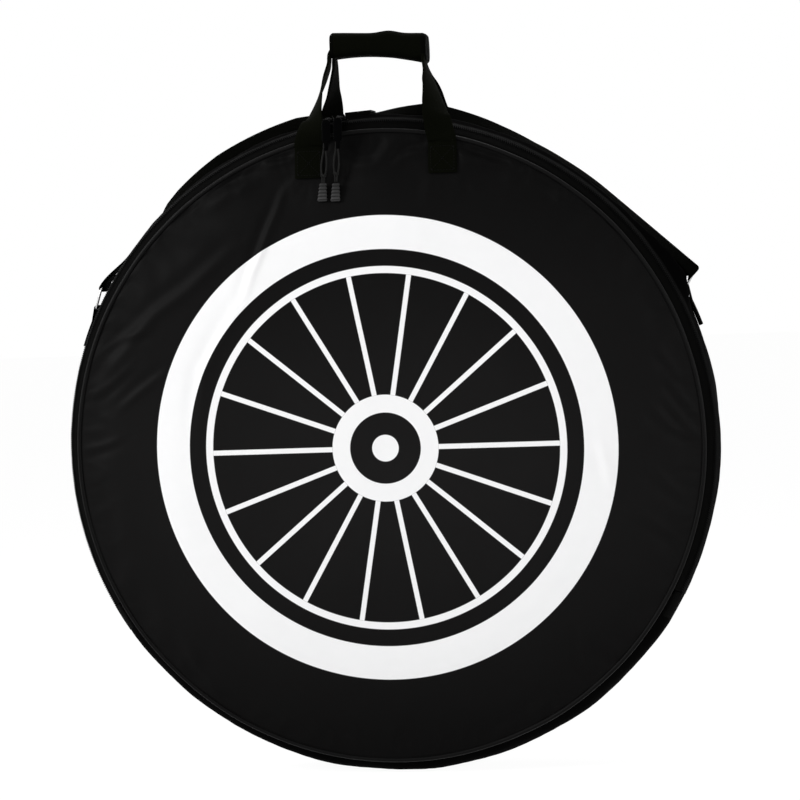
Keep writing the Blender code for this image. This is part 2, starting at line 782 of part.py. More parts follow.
def strap_half_path():
    """Middle line of the strap's right half, from the top to its turned-back end."""
    radius = strap_radius()
    leave = math.radians(STRAP_LEAVE_ANGLE)
    path = []
    for i in range(9):
        turn = leave * i / 8
        path.append((radius * math.sin(turn), radius * math.cos(turn)))
    along = Vector((math.cos(leave), 0, -math.sin(leave)))
    out = Vector((math.sin(leave), 0, math.cos(leave)))
    bar = outer_bar()
    eye = RING_WIRE_RADIUS + EYE_GAP + STRAP_THICKNESS / 2
    for i in range(7):
        turn = math.radians(30 * i)
        point = bar + out * eye * math.cos(turn) + along * eye * math.sin(turn)
        path.append((point.x, point.z))
    back = STRAP_THICKNESS + FIT_GAP
    first = bar + out * (eye - back) - along * STRAP_TURN_SPACE
    last = bar + out * (eye - back) - along * STRAP_TURN_BACK
    path.append((first.x, first.z))
    path.append((last.x, last.z))
    return path


def build_strap():
    """The shoulder strap, over the rim from one ring to the other."""
    right = strap_half_path()
    left = [(-x, z) for x, z in right[1:]]
    path = [(x, z + AXIS_Z) for x, z in list(reversed(left)) + right]
    body = flat_band(path, STRAP_THICKNESS, WEBBING_WIDTH, STRAP_Y)
    add_object("shoulder_strap", body, BLACK_WEBBING)


def tab_path():
    """Middle line of the webbing tab that holds the right ring's inner bar."""
    bar = inner_bar()
    low = BODY_RADIUS + FIT_GAP + TAB_THICKNESS / 2
    high = low + TAB_THICKNESS + FIT_GAP
    bar_angle = math.degrees(math.atan2(bar.x, bar.z))
    eye = RING_WIRE_RADIUS + EYE_GAP + TAB_THICKNESS / 2
    steps = [TAB_FOOT_ANGLE * share for share in TAB_SHARES]
    path = []
    for step in reversed(steps):
        turn = math.radians(bar_angle + step)
        path.append((low * math.sin(turn), low * math.cos(turn)))
    inward = -bar.normalized()
    up = Vector((inward.z, 0, -inward.x))
    for i in range(7):
        turn = math.radians(30 * i)
        point = bar + inward * eye * math.cos(turn) + up * eye * math.sin(turn)
        path.append((point.x, point.z))
    for step in steps:
        turn = math.radians(bar_angle + step)
        path.append((high * math.sin(turn), high * math.cos(turn)))
    return path


def ring_path(way):
    """Middle line of one ring's wire, a rounded rectangle."""
    half = RING_INSIDE_WIDTH / 2 + RING_WIRE_RADIUS
    outer = outer_bar()
    inner = inner_bar()
    along = (outer - inner).normalized()
    across = Vector((0, 1, 0))
    shift = across * (half - RING_CORNER)
    far = outer - along * RING_CORNER
    near = inner + along * RING_CORNER
    corners = (
        (far + shift, along, across),
        (near + shift, across, -along),
        (near - shift, -along, -across),
        (far - shift, -across, along),
    )
    points = []
    for centre, first, second in corners:
        for i in range(4):
            turn = math.radians(30 * i)
            away = first * math.cos(turn) + second * math.sin(turn)
            points.append(centre + away * RING_CORNER)
    return [Vector((way * p.x, p.y + STRAP_Y, p.z + AXIS_Z)) for p in points]


def build_rings():
    """The two strap rings and the webbing tabs that hold them."""
    for name, way in (("left", -1), ("right", 1)):
        ring = tube(ring_path(way), RING_WIRE_RADIUS, 6, closed=True)
        add_object("strap_ring_" + name, ring, BRIGHT_METAL)
        path = [(way * x, z + AXIS_Z) for x, z in tab_path()]
        tab = flat_band(path, TAB_THICKNESS, WEBBING_WIDTH, STRAP_Y)
        add_object("ring_tab_" + name, tab, BLACK_WEBBING)


def build_adjuster():
    """The three-bar adjuster: two bars over the strap, one under it, two rails."""
    half_x = ADJUSTER_LENGTH / 2
    half_y = WEBBING_WIDTH / 2 + FIT_GAP + ADJUSTER_RAIL
    under = BODY_RADIUS + ADJUSTER_SEAT
    strap_low = under + ADJUSTER_LOW_BAR
    strap_high = BODY_RADIUS + STRAP_LIFT + STRAP_THICKNESS + 2 * FIT_GAP
    top = strap_high + ADJUSTER_THICKNESS
    block = box((2 * half_x, 2 * half_y, top - under), (0, STRAP_Y, (under + top) / 2))
    at_angle(block, ADJUSTER_ANGLE)
    part = add_object("strap_adjuster", block, BLACK_PLASTIC, location=(0, 0, AXIS_Z))
    wide = WEBBING_WIDTH + 2 * FIT_GAP
    low_bar = ADJUSTER_BAR / 2
    side_end = half_x + CUT_MARGIN
    window = half_x - ADJUSTER_BAR
    cuts = (
        ("tunnel", -side_end, side_end, strap_low, strap_high),
        ("under_left", -side_end, -low_bar, under - CUT_MARGIN, strap_low + CUT_OVERLAP),
        ("under_right", low_bar, side_end, under - CUT_MARGIN, strap_low + CUT_OVERLAP),
        ("window", -window, window, strap_high - CUT_OVERLAP, top + CUT_MARGIN),
    )
    for name, left, right, low, high in cuts:
        body = box((right - left, wide, high - low), ((left + right) / 2, STRAP_Y, (low + high) / 2))
        at_angle(body, ADJUSTER_ANGLE)
        guide_name = "strap_adjuster_" + name + "_guide"
        guide = add_object(guide_name, body, BLACK_PLASTIC, location=(0, 0, AXIS_Z))
        guide.hide_render = True
        guide.display_type = "WIRE"
        cut = part.modifiers.new(name, "BOOLEAN")
        cut.operation = "DIFFERENCE"
        cut.object = guide


def main():
    """Empty the scene and build the whole bag."""
    for old in list(bpy.data.objects):
        bpy.data.objects.remove(old, do_unlink=True)
    build_panels()
    build_hub_guards()
    build_piping()
    build_gusset()
    build_zipper()
    build_sliders()
    build_handles()
    build_strap()
    build_rings()
    build_adjuster()


main()
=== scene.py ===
"""A padded bag for one bicycle wheel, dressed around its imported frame.

Every length is in metres. X runs to the bag's right, -Y is the front and Z is up.
Angles round the rim are in degrees from the top, clockwise seen from the front.
Heights over the axis are measured from the middle of the round body.
"""

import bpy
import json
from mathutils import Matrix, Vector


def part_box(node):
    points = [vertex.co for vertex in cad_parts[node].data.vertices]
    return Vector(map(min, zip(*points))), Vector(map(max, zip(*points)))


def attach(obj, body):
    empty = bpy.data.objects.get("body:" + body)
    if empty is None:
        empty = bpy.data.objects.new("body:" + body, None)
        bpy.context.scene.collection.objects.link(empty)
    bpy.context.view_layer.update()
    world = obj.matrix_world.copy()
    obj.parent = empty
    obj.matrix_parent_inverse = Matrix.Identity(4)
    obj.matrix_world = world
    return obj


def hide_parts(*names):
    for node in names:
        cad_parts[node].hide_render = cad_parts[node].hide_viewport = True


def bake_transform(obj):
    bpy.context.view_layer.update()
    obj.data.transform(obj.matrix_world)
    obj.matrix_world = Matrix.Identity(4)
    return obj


bl_info = {
    "name": "Bike wheel bag",
    "version": (1, 0, 0),
    "blender": (4, 5, 0),
    "location": "View3D > Sidebar > Wheel bag",
    "description": "Builds the cloth, webbing, zipper and trim of a padded bicycle wheel bag",
    "category": "Object",
}

import json
import math

import bmesh
import bpy
import numpy as np
from mathutils import Matrix, Vector, noise

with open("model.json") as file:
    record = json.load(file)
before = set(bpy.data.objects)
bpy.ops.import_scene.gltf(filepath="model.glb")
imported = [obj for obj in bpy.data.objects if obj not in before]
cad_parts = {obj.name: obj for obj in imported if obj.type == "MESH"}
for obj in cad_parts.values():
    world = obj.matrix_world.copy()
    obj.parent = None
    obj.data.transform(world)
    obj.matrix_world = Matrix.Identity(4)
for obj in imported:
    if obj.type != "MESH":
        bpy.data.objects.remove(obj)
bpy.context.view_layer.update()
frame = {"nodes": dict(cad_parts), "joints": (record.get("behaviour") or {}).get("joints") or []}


def half_width(node):
    """Half of a node's width along X."""
    low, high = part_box(node)
    return (high.x - low.x) / 2


# Places taken from the frame
BODY_RADIUS = half_width("gusset_upper")
SEAM_RADIUS = half_width("back_panel_shell")
AXIS_Z = (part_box("back_piping")[0].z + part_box("back_piping")[1].z) / 2
PANEL_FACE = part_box("back_panel_shell")[1].y
SEAM_HALF_DEPTH = PANEL_FACE - 0.0145
FOLD_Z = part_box("front_panel_shell")[0].z
PIPING_DEPTH = (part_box("back_piping")[0].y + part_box("back_piping")[1].y) / 2
JOINTS = {joint["name"]: joint for joint in frame["joints"]}

# Sewing sizes that the frame's solids share
DOME_WIDTH = 0.1217
FLAT_RADIUS = SEAM_RADIUS - DOME_WIDTH
GUSSET_SEAM_RADIUS = SEAM_RADIUS + 0.0043
GUSSET_BULGE = BODY_RADIUS - GUSSET_SEAM_RADIUS
GUSSET_HALF = SEAM_HALF_DEPTH - 0.0025
GUSSET_EDGE = 0.0422
GUSSET_CLOTH = 0.0014
JOIN_ANGLE = 118.9

# The zipper
ZIPPER_Y = -0.031
TAPE_WIDTH = 0.0095
TAPE_SPLIT = 0.0014
TAPE_THICKNESS = 0.0009
END_TAB_WIDTH = 0.0186
END_TAB_ANGLE = 5.0
TOOTH_PITCH = 0.0024
TOOTH_LENGTH = 0.0027
TOOTH_HEIGHT = 0.0016

# The handles' webbing and grip, and their heights over the axis
WEBBING_WIDTH = 0.032
WEBBING_THICKNESS = 0.0020
WEBBING_SEAT = 0.0004
FRONT_STANCE = 0.076
REAR_STANCE = 0.069
STANCES = {"front": FRONT_STANCE, "rear": REAR_STANCE}
SEWN_LOW = 0.307
SEWN_HIGH = 0.341
LEG_START = 0.342
GRIP_HEIGHT = 0.031
GRIP_DEPTH = 0.019
GRIP_MIDDLE = 0.0024
GRIP_HALF = 0.0548
GRIP_BOTTOM = BODY_RADIUS + 0.0675
GRIP_RUN = GRIP_BOTTOM + 0.0122

# The shoulder strap, the gusset's fold under it and the rings that hold it
STRAP_Y = 0.012
STRAP_LIFT = 0.0026
STRAP_THICKNESS = 0.0020
STRAP_LEAVE_ANGLE = 42.0
STRAP_TURN_BACK = 0.034
LEFT_RING_LIFT = 0.0085
# Degrees that the adjuster sits to the left of the top
ADJUSTER_ANGLE = 3.7
# How far the strap lies off the rim on its slack left stretch
SLACK_LIFT = 0.0019

# How far the strap's back edge stands off the rim: degrees from the top, and metres
STRAP_BACK_EDGE = (
    (-48.0, 0.0), (-44.5, 0.0012), (-42.4, 0.0055), (-39.0, 0.0088), (-34.6, 0.0112),
    (-30.0, 0.0132), (-15.0, 0.0132), (-10.0, 0.0085), (-7.4, 0.0008), (-1.2, 0.0012),
    (3.0, 0.0074), (7.2, 0.0130), (9.5, 0.0132), (14.0, 0.0102), (18.0, 0.0074),
    (21.0, 0.0050), (27.0, 0.0012), (33.0, 0.0), (60.0, 0.0),
)
# How far its front edge hangs in towards the rim past the right leaving place: share of the way, metres
STRAP_FRONT_EDGE = ((0.0, 0.0030), (0.3, 0.0042), (0.6, 0.0075), (0.85, 0.0110), (1.0, 0.0135))
# Height of the gusset's fold in front of the strap: degrees from the top, and metres
GUSSET_FOLD = (
    (-180.0, 0.0), (-52.0, 0.0), (-46.0, 0.0022), (-10.0, 0.0026), (-6.0, 0.0036),
    (0.0, 0.0036), (5.0, 0.0026), (44.0, 0.0028), (48.0, 0.0046), (52.0, 0.0064),
    (54.0, 0.0078), (56.0, 0.0094), (58.0, 0.0108), (59.5, 0.0116), (61.0, 0.0118),
    (62.5, 0.0104), (64.0, 0.0070), (66.0, 0.0022), (68.0, 0.0), (180.0, 0.0),
)
FOLD_TOP_Y = -0.009
FOLD_FRONT_Y = -0.0212
FOLD_BACK_Y = 0.010
RING_WIRE_RADIUS = 0.0015
RING_INSIDE_WIDTH = 0.034
RING_BAR_SPACING = 0.024
RING_LIFT = 0.0199
RING_CORNER = 0.004
TAB_FOOT_ANGLE = 7.0
TAB_THICKNESS = 0.0017
# Half of the strap, or of a handle, and of a tab, each with some slack
STRAP_HALF = 0.0011
TAB_HALF = 0.0009
TAB_LAYER = 0.0018
# The play round a ring's bar, the gaps between layers and how a handle's foot clears the piping
BAR_PLAY = 0.0005
STRAP_EYE = RING_WIRE_RADIUS + BAR_PLAY + STRAP_HALF
TAB_SEAT = 0.0003
TURN_GAP = 0.0004
PIPING_ROOM = 0.0025
FOOT_GAP = 0.0006
ALONG_X = Vector((1, 0, 0))
ALONG_Y = Vector((0, 1, 0))

# The photograph's camera
CAMERA_AZIMUTH = 8.0
CAMERA_ELEVATION = 3.0
CAMERA_ROLL = -2.23
CAMERA_DISTANCE = 3.5
CAMERA_TARGET = Vector((0.010, 0.0, 0.423))
FOCAL_PIXELS = 3055.0
PHOTO_SIZE = 800.0

# Creases of the front panel: points in the photograph's pixels, height and width in metres
LONG_CREASES = (
    (
        ((288, 186), (281, 198), (276, 213), (269, 230), (261, 252), (253, 272), (244, 300)),
        0.0026,
        0.0050,
    ),
    (((244, 300), (225, 334), (205, 372), (200, 410), (198, 439)), 0.0016, 0.0070),
    (
        ((236, 246), (212, 268), (188, 290), (156, 313), (138, 332), (122, 352), (97, 387)),
        0.0022,
        0.0075,
    ),
    (((168, 371), (140, 392), (117, 412)), 0.0016, 0.0050),
    (((100, 352), (122, 338), (150, 330)), 0.0012, 0.0050),
    (((83, 451), (104, 446), (122, 438)), 0.0015, 0.0045),
    (((88, 398), (110, 384), (131, 366)), 0.0013, 0.0050),
    (((666, 376), (681, 398), (697, 417)), 0.0019, 0.0050),
    (((664, 395), (680, 418), (697, 437)), 0.0019, 0.0050),
    (((649, 404), (670, 426), (695, 441)), 0.0019, 0.0050),
    (((639, 415), (645, 428), (651, 440)), 0.0014, 0.0050),
    (((657, 348), (668, 362), (680, 380)), 0.0013, 0.0050),
    (((599, 437), (606, 462), (612, 485)), 0.0015, 0.0060),
    (((646, 462), (668, 485), (689, 504)), 0.0018, 0.0060),
    (((634, 507), (660, 528), (686, 544)), 0.0018, 0.0060),
    (((579, 619), (584, 646), (587, 674)), 0.0016, 0.0055),
    (((609, 644), (615, 658), (619, 671)), 0.0014, 0.0050),
    (((182, 640), (196, 668), (214, 690)), 0.0012, 0.0060),
    (((560, 690), (530, 716), (494, 737)), 0.0012, 0.0070),
)
TOP_SAGS = (
    (((338, 139), (344, 151), (356, 157), (370, 156), (378, 146), (384, 136)), 0.0022, 0.0060),
    (((388, 161), (397, 152), (407, 147), (420, 145), (428, 141)), 0.0030, 0.0046),
    (((452, 139), (461, 146), (470, 150), (478, 153), (491, 157), (512, 162)), 0.0034, 0.0050),
    (((262, 155), (268, 159), (280, 157), (294, 154)), 0.0026, 0.0036),
    (((200, 203), (222, 184), (240, 176), (258, 169)), 0.0024, 0.0070),
    (((530, 172), (548, 184), (566, 200)), 0.0018, 0.0060),
)
# Creases of the back panel: points from its middle, height and width, all in metres
BACK_CREASES = (
    (((-0.24, 0.19), (-0.16, 0.10), (-0.11, -0.02)), 0.0012, 0.010),
    (((0.28, 0.12), (0.22, 0.02), (0.25, -0.09)), 0.0011, 0.009),
    (((-0.12, -0.30), (-0.02, -0.26), (0.09, -0.27)), 0.0011, 0.009),
    (((0.12, 0.29), (0.19, 0.22), (0.23, 0.13)), 0.0010, 0.008),
)
# Heights of the panels' soft waves, ripples and gathers, and of the gusset's
PANEL_WAVES = 0.0016
PANEL_RIPPLES = 0.0005
PANEL_GATHERS = 0.0011
GUSSET_WAVES = 0.0016
GUSSET_GATHERS = 0.0012
# How far the gusset swells to meet the strap, and degrees from the top where that ends
STRAP_SWELL = 0.0022
SWELL_END_ANGLE = 48
# How far out the piping sits from the seam, and how far it wanders
PIPING_OUT = 0.0028
PIPING_WANDER = 0.0009
# How far a panel's cloth reaches into its seam
CLOTH_RADIUS = SEAM_RADIUS + 0.0008
# How far to each side of a handle's sewn end the cloth is held flat while it settles
SEWN_REST = 0.022
# How far a panel's cloth may move while it settles: outwards and inwards
SETTLE_OUT = 0.0030
SETTLE_IN = 0.0012
SETTLE_FRAMES = 20
SETTLE_PRESSURE = 0.25
# How the settling cloth behaves
CLOTH_SETTINGS = {
    "quality": 6,
    "mass": 0.25,
    "tension_stiffness": 15,
    "compression_stiffness": 15,
    "shear_stiffness": 5,
    "bending_stiffness": 0.6,
    "vertex_group_mass": "pinned",
    "use_pressure": True,
}
# How deep the outer cloth may sink below its smooth shape, and where the padding starts and ends
DEEPEST_RELIEF = 0.0034
PADDING_INSET = 0.0041
LINING_INSET = 0.0091
PADDING_GAP = 0.0070
PADDING_EDGE = 0.010

# The front panel's paler middle, painted light with painted shade towards its top, bottom and sides:
# its height under the axis, its reach up and down, and its width
PAINTED_GLOW_MIDDLE = 0.03
PAINTED_GLOW_REACH = 0.28
PAINTED_GLOW_WIDTH = 0.44
# Radii of the wheel drawn on it, its spokes and the soft edge of the print
RIM_OUTSIDE = 0.262
RIM_INSIDE = 0.224
LINE_OUTSIDE = 0.205
LINE_INSIDE = 0.197
HUB_OUTSIDE = 0.060
HUB_INSIDE = 0.040
AXLE_RADIUS = 0.015
SPOKES = 18
SPOKE_HALF_WIDTH = 0.0028
PRINT_EDGE = 0.0006

# How each pull hangs: its lean to the left, and how much lower its end sits
PULL_HANG = {"left": (0.090, 0.0018), "right": (0.068, 0.0040)}
PULL_DROP = 0.0704
PULL_LENGTH = 0.0205
PULL_TOP = 0.0085
PULL_BOTTOM = 0.0118
PULL_DEPTH = 0.0050
PULL_RIBS = 5
CORD_RADIUS = 0.00105
KNOT_RADIUS = 0.0012
# The flat tab of a slider: its length, its two half widths, and where the neck starts
SLIDER_TAB_LENGTH = 0.0346
SLIDER_TAB_WIDE = 0.0049
SLIDER_TAB_NECK = 0.0024
SLIDER_NECK_START = 0.0238

# Depth of a handle's webbing at heights over the axis
LEG_DEPTHS = (
    (0.3420, 0.0503), (0.3532, 0.0509), (0.3610, 0.0507), (0.3727, 0.0481),
    (0.3927, 0.0355), (0.4187, 0.0195), (0.4400, 0.0105), (0.4500, 0.0095),
)
# Distance of each pair of legs from the middle, at heights over the axis
LEG_SPREADS = {
    "front": (
        (0.345, 0.0760), (0.352, 0.0742), (0.366, 0.0716), (0.376, 0.0692),
        (0.390, 0.0662), (0.400, 0.0642), (0.4105, 0.0618), (0.4200, 0.0588),
        (0.4340, 0.0550),
    ),
    "rear": (
        (0.345, 0.0690), (0.360, 0.0668), (0.3835, 0.0622), (0.3930, 0.0604),
        (0.4050, 0.0580), (0.4180, 0.0548), (0.4340, 0.0520),
    ),
}
# How far each leg has turned to face the front, as a share of a quarter turn
LEG_TURNS = {
    ("front", -1): (
        (0.346, 1.0), (0.351, 0.97), (0.365, 0.70), (0.376, 0.49),
        (0.390, 0.35), (0.403, 0.23), (0.418, 0.09), (0.434, 0.06),
    ),
    ("front", 1): (
        (0.346, 1.0), (0.3523, 0.90), (0.3681, 0.70), (0.3842, 0.57),
        (0.3974, 0.40), (0.4105, 0.30), (0.4204, 0.17), (0.434, 0.08),
    ),
    ("rear", -1): (
        (0.346, 1.0), (0.352, 0.94), (0.366, 0.66), (0.3835, 0.55),
        (0.392, 0.46), (0.403, 0.29), (0.418, 0.20), (0.435, 0.07),
    ),
    ("rear", 1): (
        (0.346, 1.0), (0.352, 0.94), (0.366, 0.72), (0.381, 0.63),
        (0.3935, 0.58), (0.405, 0.55), (0.416, 0.50), (0.430, 0.20),
    ),
}
# Heights of the stops along a leg
LEG_HEIGHTS = (0.434, 0.424, 0.414, 0.404, 0.394, 0.384, 0.374, 0.366, 0.358, 0.351, 0.3455)
# Width and thickness of the webbing where it is folded up inside the grip
FOLDED_WIDTH = 0.0140
FOLDED_THICKNESS = 0.0042
STITCH_PITCH = 0.0032
THREAD_RADIUS = 0.00038
# The grip's upper and lower lines: height over the axis at the middle, slope, hump and sag
GRIP_TOP_LINE = 0.4692
GRIP_TOP_SLOPE = 0.048
GRIP_LOW_LINE = 0.4369
GRIP_LOW_SLOPE = 0.0875
GRIP_HUMP = 0.0027
GRIP_SAG = 0.0058
GRIP_CORNER = 0.0095

# The stage: the floor's size and glow, the daylight and the lamps
WHITE = (1.0, 1.0, 1.0, 1.0)
FLOOR_REACH = 14.0
FLOOR_STEPS = 12
FLOOR_DROP = 0.0004
FLOOR_GLOW = 1.068
FLOOR_SHADING = 0.10
DAYLIGHT = 0.285
LAMPS = (
    ("key_lamp", (-2.6, -1.5, 1.9), (0, 0, 0.40), 0.9, 85.0),
    ("side_lamp", (2.4, -1.4, 0.9), (0, 0, 0.4), 0.9, 28.0),
    ("top_lamp", (0.1, 0.9, 2.6), (0, 0, 0.5), 1.2, 17.0),
)


class WheelBagSizes(bpy.types.PropertyGroup):
    """Sizes that a user would change."""

    crease_strength: bpy.props.FloatProperty(
        name="Crease strength",
        description="How much of their drawn height the panel's creases keep",
        default=1.0,
        min=0.0,
        max=2.0,
    )
    cloth_growth: bpy.props.FloatProperty(
        name="Cloth growth",
        description="How much larger than its panel the front cloth is cut, as a share",
        default=0.006,
        min=0.0,
        max=0.03,
        subtype="FACTOR",
    )
    piping_radius: bpy.props.FloatProperty(
        name="Piping radius",
        description="Radius of the cord sewn into both round seams",
        default=0.0026,
        min=0.001,
        max=0.005,
        unit="LENGTH",
    )
    weave_pitch: bpy.props.FloatProperty(
        name="Weave pitch",
        description="Distance between the nylon's threads",
        default=0.0006,
        min=0.0002,
        max=0.002,
        unit="LENGTH",
    )


class WheelBagColours(bpy.types.PropertyGroup):
    """Colours that a user would change."""

    nylon: bpy.props.FloatVectorProperty(
        name="Nylon",
        description="Colour of the panels and the gusset",
        default=(0.0088, 0.0085, 0.0085),
        size=3,
        min=0.0,
        max=1.0,
        subtype="COLOR",
    )
    webbing: bpy.props.FloatVectorProperty(
        name="Webbing",
        description="Colour of the handles and the strap",
        default=(0.0016, 0.0019, 0.0007),
        size=3,
        min=0.0,
        max=1.0,
        subtype="COLOR",
    )
    drawing: bpy.props.FloatVectorProperty(
        name="Drawing",
        description="Colour of the wheel drawn on the front panel",
        default=(0.93, 0.93, 0.935),
        size=3,
        min=0.0,
        max=1.0,
        subtype="COLOR",
    )
    lining: bpy.props.FloatVectorProperty(
        name="Lining",
        description="Colour of the lining inside",
        default=(0.055, 0.055, 0.060),
        size=3,
        min=0.0,
        max=1.0,
        subtype="COLOR",
    )


class Value:
    """A number in a shader, which plain arithmetic turns into Math nodes."""

    def __init__(self, tree, socket):
        self.tree = tree
        self.socket = socket

    def math(self, operation, *others):
        """Add one Math node, with this number first."""
        node = self.tree.nodes.new("ShaderNodeMath")
        node.operation = operation
        for slot, item in zip(node.inputs, (self, *others)):
            if isinstance(item, Value):
                self.tree.links.new(item.socket, slot)
            else:
                slot.default_value = item
        return Value(self.tree, node.outputs[0])

    def __add__(self, other):
        return self.math("ADD", other)

    __radd__ = __add__

    def __mul__(self, other):
        return self.math("MULTIPLY", other)

    __rmul__ = __mul__

    def __sub__(self, other):
        return self.math("SUBTRACT", other)

    def __rsub__(self, other):
        return self * -1 + other

    def __truediv__(self, other):
        return self.math("DIVIDE", other)

    def __abs__(self):
        return self.math("ABSOLUTE")

    def __mod__(self, other):
        return self.math("FLOORED_MODULO", other)

    def sine(self):
        """The sine of this angle in radians."""
        return self.math("SINE")

    def floor(self):
        """This number rounded down."""
        return self.math("FLOOR")

    def step_below(self, limit, blur):
        """1 where this number is under a limit and 0 above it, with a narrow soft edge."""
        sharp = (limit - self) / blur + 0.5
        return sharp.math("MAXIMUM", 0.0).math("MINIMUM", 1.0)


class Nodes:
    """A node tree being filled."""

    def __init__(self, tree):
        self.tree = tree

    def node(self, kind, settings=None, sockets=None):
        """Add a node: its settings first, then the values or links of its sockets."""
        made = self.tree.nodes.new("ShaderNode" + kind)
        for key, value in (settings or {}).items():
            if key == "stops":
                ramp = made.color_ramp
                for index, (place, colour) in enumerate(value):
                    stop = ramp.elements[index] if index < 2 else ramp.elements.new(place)
                    stop.position = place
                    stop.color = (*colour, 1)
            else:
                setattr(made, key, value)
        for key, value in (sockets or {}).items():
            self.feed(made.inputs[key], value)
        return made

    def feed(self, socket, value):
        """Give a socket a value, or a link from a number or another socket."""
        if isinstance(value, Value):
            self.tree.links.new(value.socket, socket)
        elif isinstance(value, bpy.types.NodeSocket):
            self.tree.links.new(value, socket)
        else:
            socket.default_value = value

    def seen(self):
        """1 for what the camera sees, straight or in a reflection, and 0 for the light itself."""
        rays = self.node("LightPath")
        kinds = [Value(self.tree, rays.outputs[key]) for key in ("Is Camera Ray", "Is Glossy Ray")]
        through = Value(self.tree, rays.outputs["Is Transmission Ray"])
        return (kinds[0] + kinds[1] + through).math("MINIMUM", 1.0)

    def blend(self, factor, first, second):
        """A shader between two shaders."""
        made = self.node("MixShader")
        for socket, value in zip(made.inputs, (factor, first, second)):
            self.feed(socket, value)
        return made.outputs[0]


class Finish(Nodes):
    """A material being made: its nodes, its shader and the cloth's own coordinates."""

    def __init__(self, name, constants):
        self.material = bpy.data.materials.new(name)
        self.material.use_nodes = True
        super().__init__(self.material.node_tree)
        self.shader = self.tree.nodes["Principled BSDF"]
        for socket, value in constants.items():
            self.shader.inputs[socket].default_value = value

    def cloth(self):
        """The distances along and across the cloth, in metres."""
        place = self.node("UVMap", {"uv_map": "cloth"})
        split = self.node("SeparateXYZ", None, {"Vector": place.outputs["UV"]})
        return Value(self.tree, split.outputs["X"]), Value(self.tree, split.outputs["Y"])

    def vector(self, x, y, z):
        """Three numbers as a vector."""
        return self.node("CombineXYZ", None, {"X": x, "Y": y, "Z": z}).outputs["Vector"]

    def cloud(self, scale, detail=2.0, vector=None):
        """Soft noise from 0 to 1, its scale in cycles to the metre."""
        if vector is None:
            vector = self.node("TexCoord").outputs["Object"]
        made = self.node(
            "TexNoise",
            {"noise_dimensions": "3D"},
            {"Vector": vector, "Scale": scale, "Detail": detail, "Roughness": 0.55},
        )
        return Value(self.tree, made.outputs["Fac"])

    def mix(self, factor, first, second):
        """A colour between two colours."""
        made = self.node("Mix", {"data_type": "RGBA"})
        self.feed(made.inputs[0], factor)
        for socket, colour in ((made.inputs[6], first), (made.inputs[7], second)):
            self.feed(socket, (*colour, 1) if isinstance(colour, (tuple, list)) else colour)
        return made.outputs[2]

    def colour(self, value):
        """Set the shader's colour."""
        self.feed(self.shader.inputs["Base Color"], (*value, 1) if isinstance(value, tuple) else value)

    def rough(self, value):
        """Set the shader's roughness."""
        self.feed(self.shader.inputs["Roughness"], value)

    def bump(self, height, distance, strength=1.0):
        """Raise the surface by a height from 0 to 1 times a distance in metres."""
        made = self.node("Bump", None, {"Height": height, "Distance": distance, "Strength": strength})
        self.feed(self.shader.inputs["Normal"], made.outputs["Normal"])


def weave(u, v, pitch):
    """Height of a plain weave, whose threads pass over and under each other."""
    over = ((u / pitch).floor() + (v / pitch).floor()) % 2.0
    warp = abs((u * (math.pi / pitch)).sine())
    weft = abs((v * (math.pi / pitch)).sine())
    return over * warp + (1 - over) * weft


def ribs(u, v, pitch, thread):
    """Height of webbing: cross ribs, each broken by fine threads that lean in turn."""
    lean = ((v / thread).floor() % 2.0) * (pitch / 2)
    rib = abs(((u + lean) * (math.pi / pitch)).sine())
    cord = abs((v * (math.pi / thread)).sine())
    return rib * 0.65 + cord * 0.35


def scaled(colour, share):
    """A colour made lighter or darker."""
    return tuple(channel * share for channel in colour)


def colours():
    """The scene's colours."""
    return bpy.context.scene.wheel_bag_colours


def sizes():
    """The scene's sizes."""
    return bpy.context.scene.wheel_bag_sizes


def nylon_finish(name, drawn=False, share=1.0, shine=0.030):
    """Satin black nylon cloth; the front panel's also carries a white wheel and a paler middle of
    painted light.
    """
    base = scaled(tuple(colours().nylon), share)
    made = Finish(name, {"Specular IOR Level": shine})
    u, v = made.cloth()
    lying = made.vector(u, v, 0.0)
    cloud = made.cloud(9.0, 3.0, lying)
    threads = weave(u, v, sizes().weave_pitch)
    dark = made.mix(cloud, scaled(base, 0.80), scaled(base, 1.22))
    # Painted highlight: the crowns of the threads are a little lighter
    woven = made.mix(threads * 0.2, dark, scaled(base, 1.4))
    roughness = cloud * 0.10 + 0.46
    if drawn:
        # Painted light: the cloth keeps its colour in a soft middle and falls to painted shade towards
        # the top, bottom and sides, in place of the lamps' fall-off over the dome
        away = (v + PAINTED_GLOW_MIDDLE) / PAINTED_GLOW_REACH
        aside = u / PAINTED_GLOW_WIDTH
        painted_glow = ((away * away + aside * aside) * -1).math("EXPONENT")
        woven = made.mix(painted_glow, scaled(base, 0.06), woven)
        mask = wheel_mask(u, v)
        worn = made.cloud(60.0, 4.0, lying)
        ink = made.mix(worn, scaled(tuple(colours().drawing), 0.97), tuple(colours().drawing))
        woven = made.mix(mask, woven, ink)
        roughness = roughness + mask * 0.04
        threads = threads * (1 - mask * 0.6) + mask * 1.2
    made.colour(woven)
    made.rough(roughness)
    made.bump(threads, 0.00006, 0.5)
    return made.material


def ring_mask(radius, inside, outside):
    """1 inside a flat ring."""
    return radius.step_below(outside, PRINT_EDGE) * (1 - radius.step_below(inside, PRINT_EDGE))


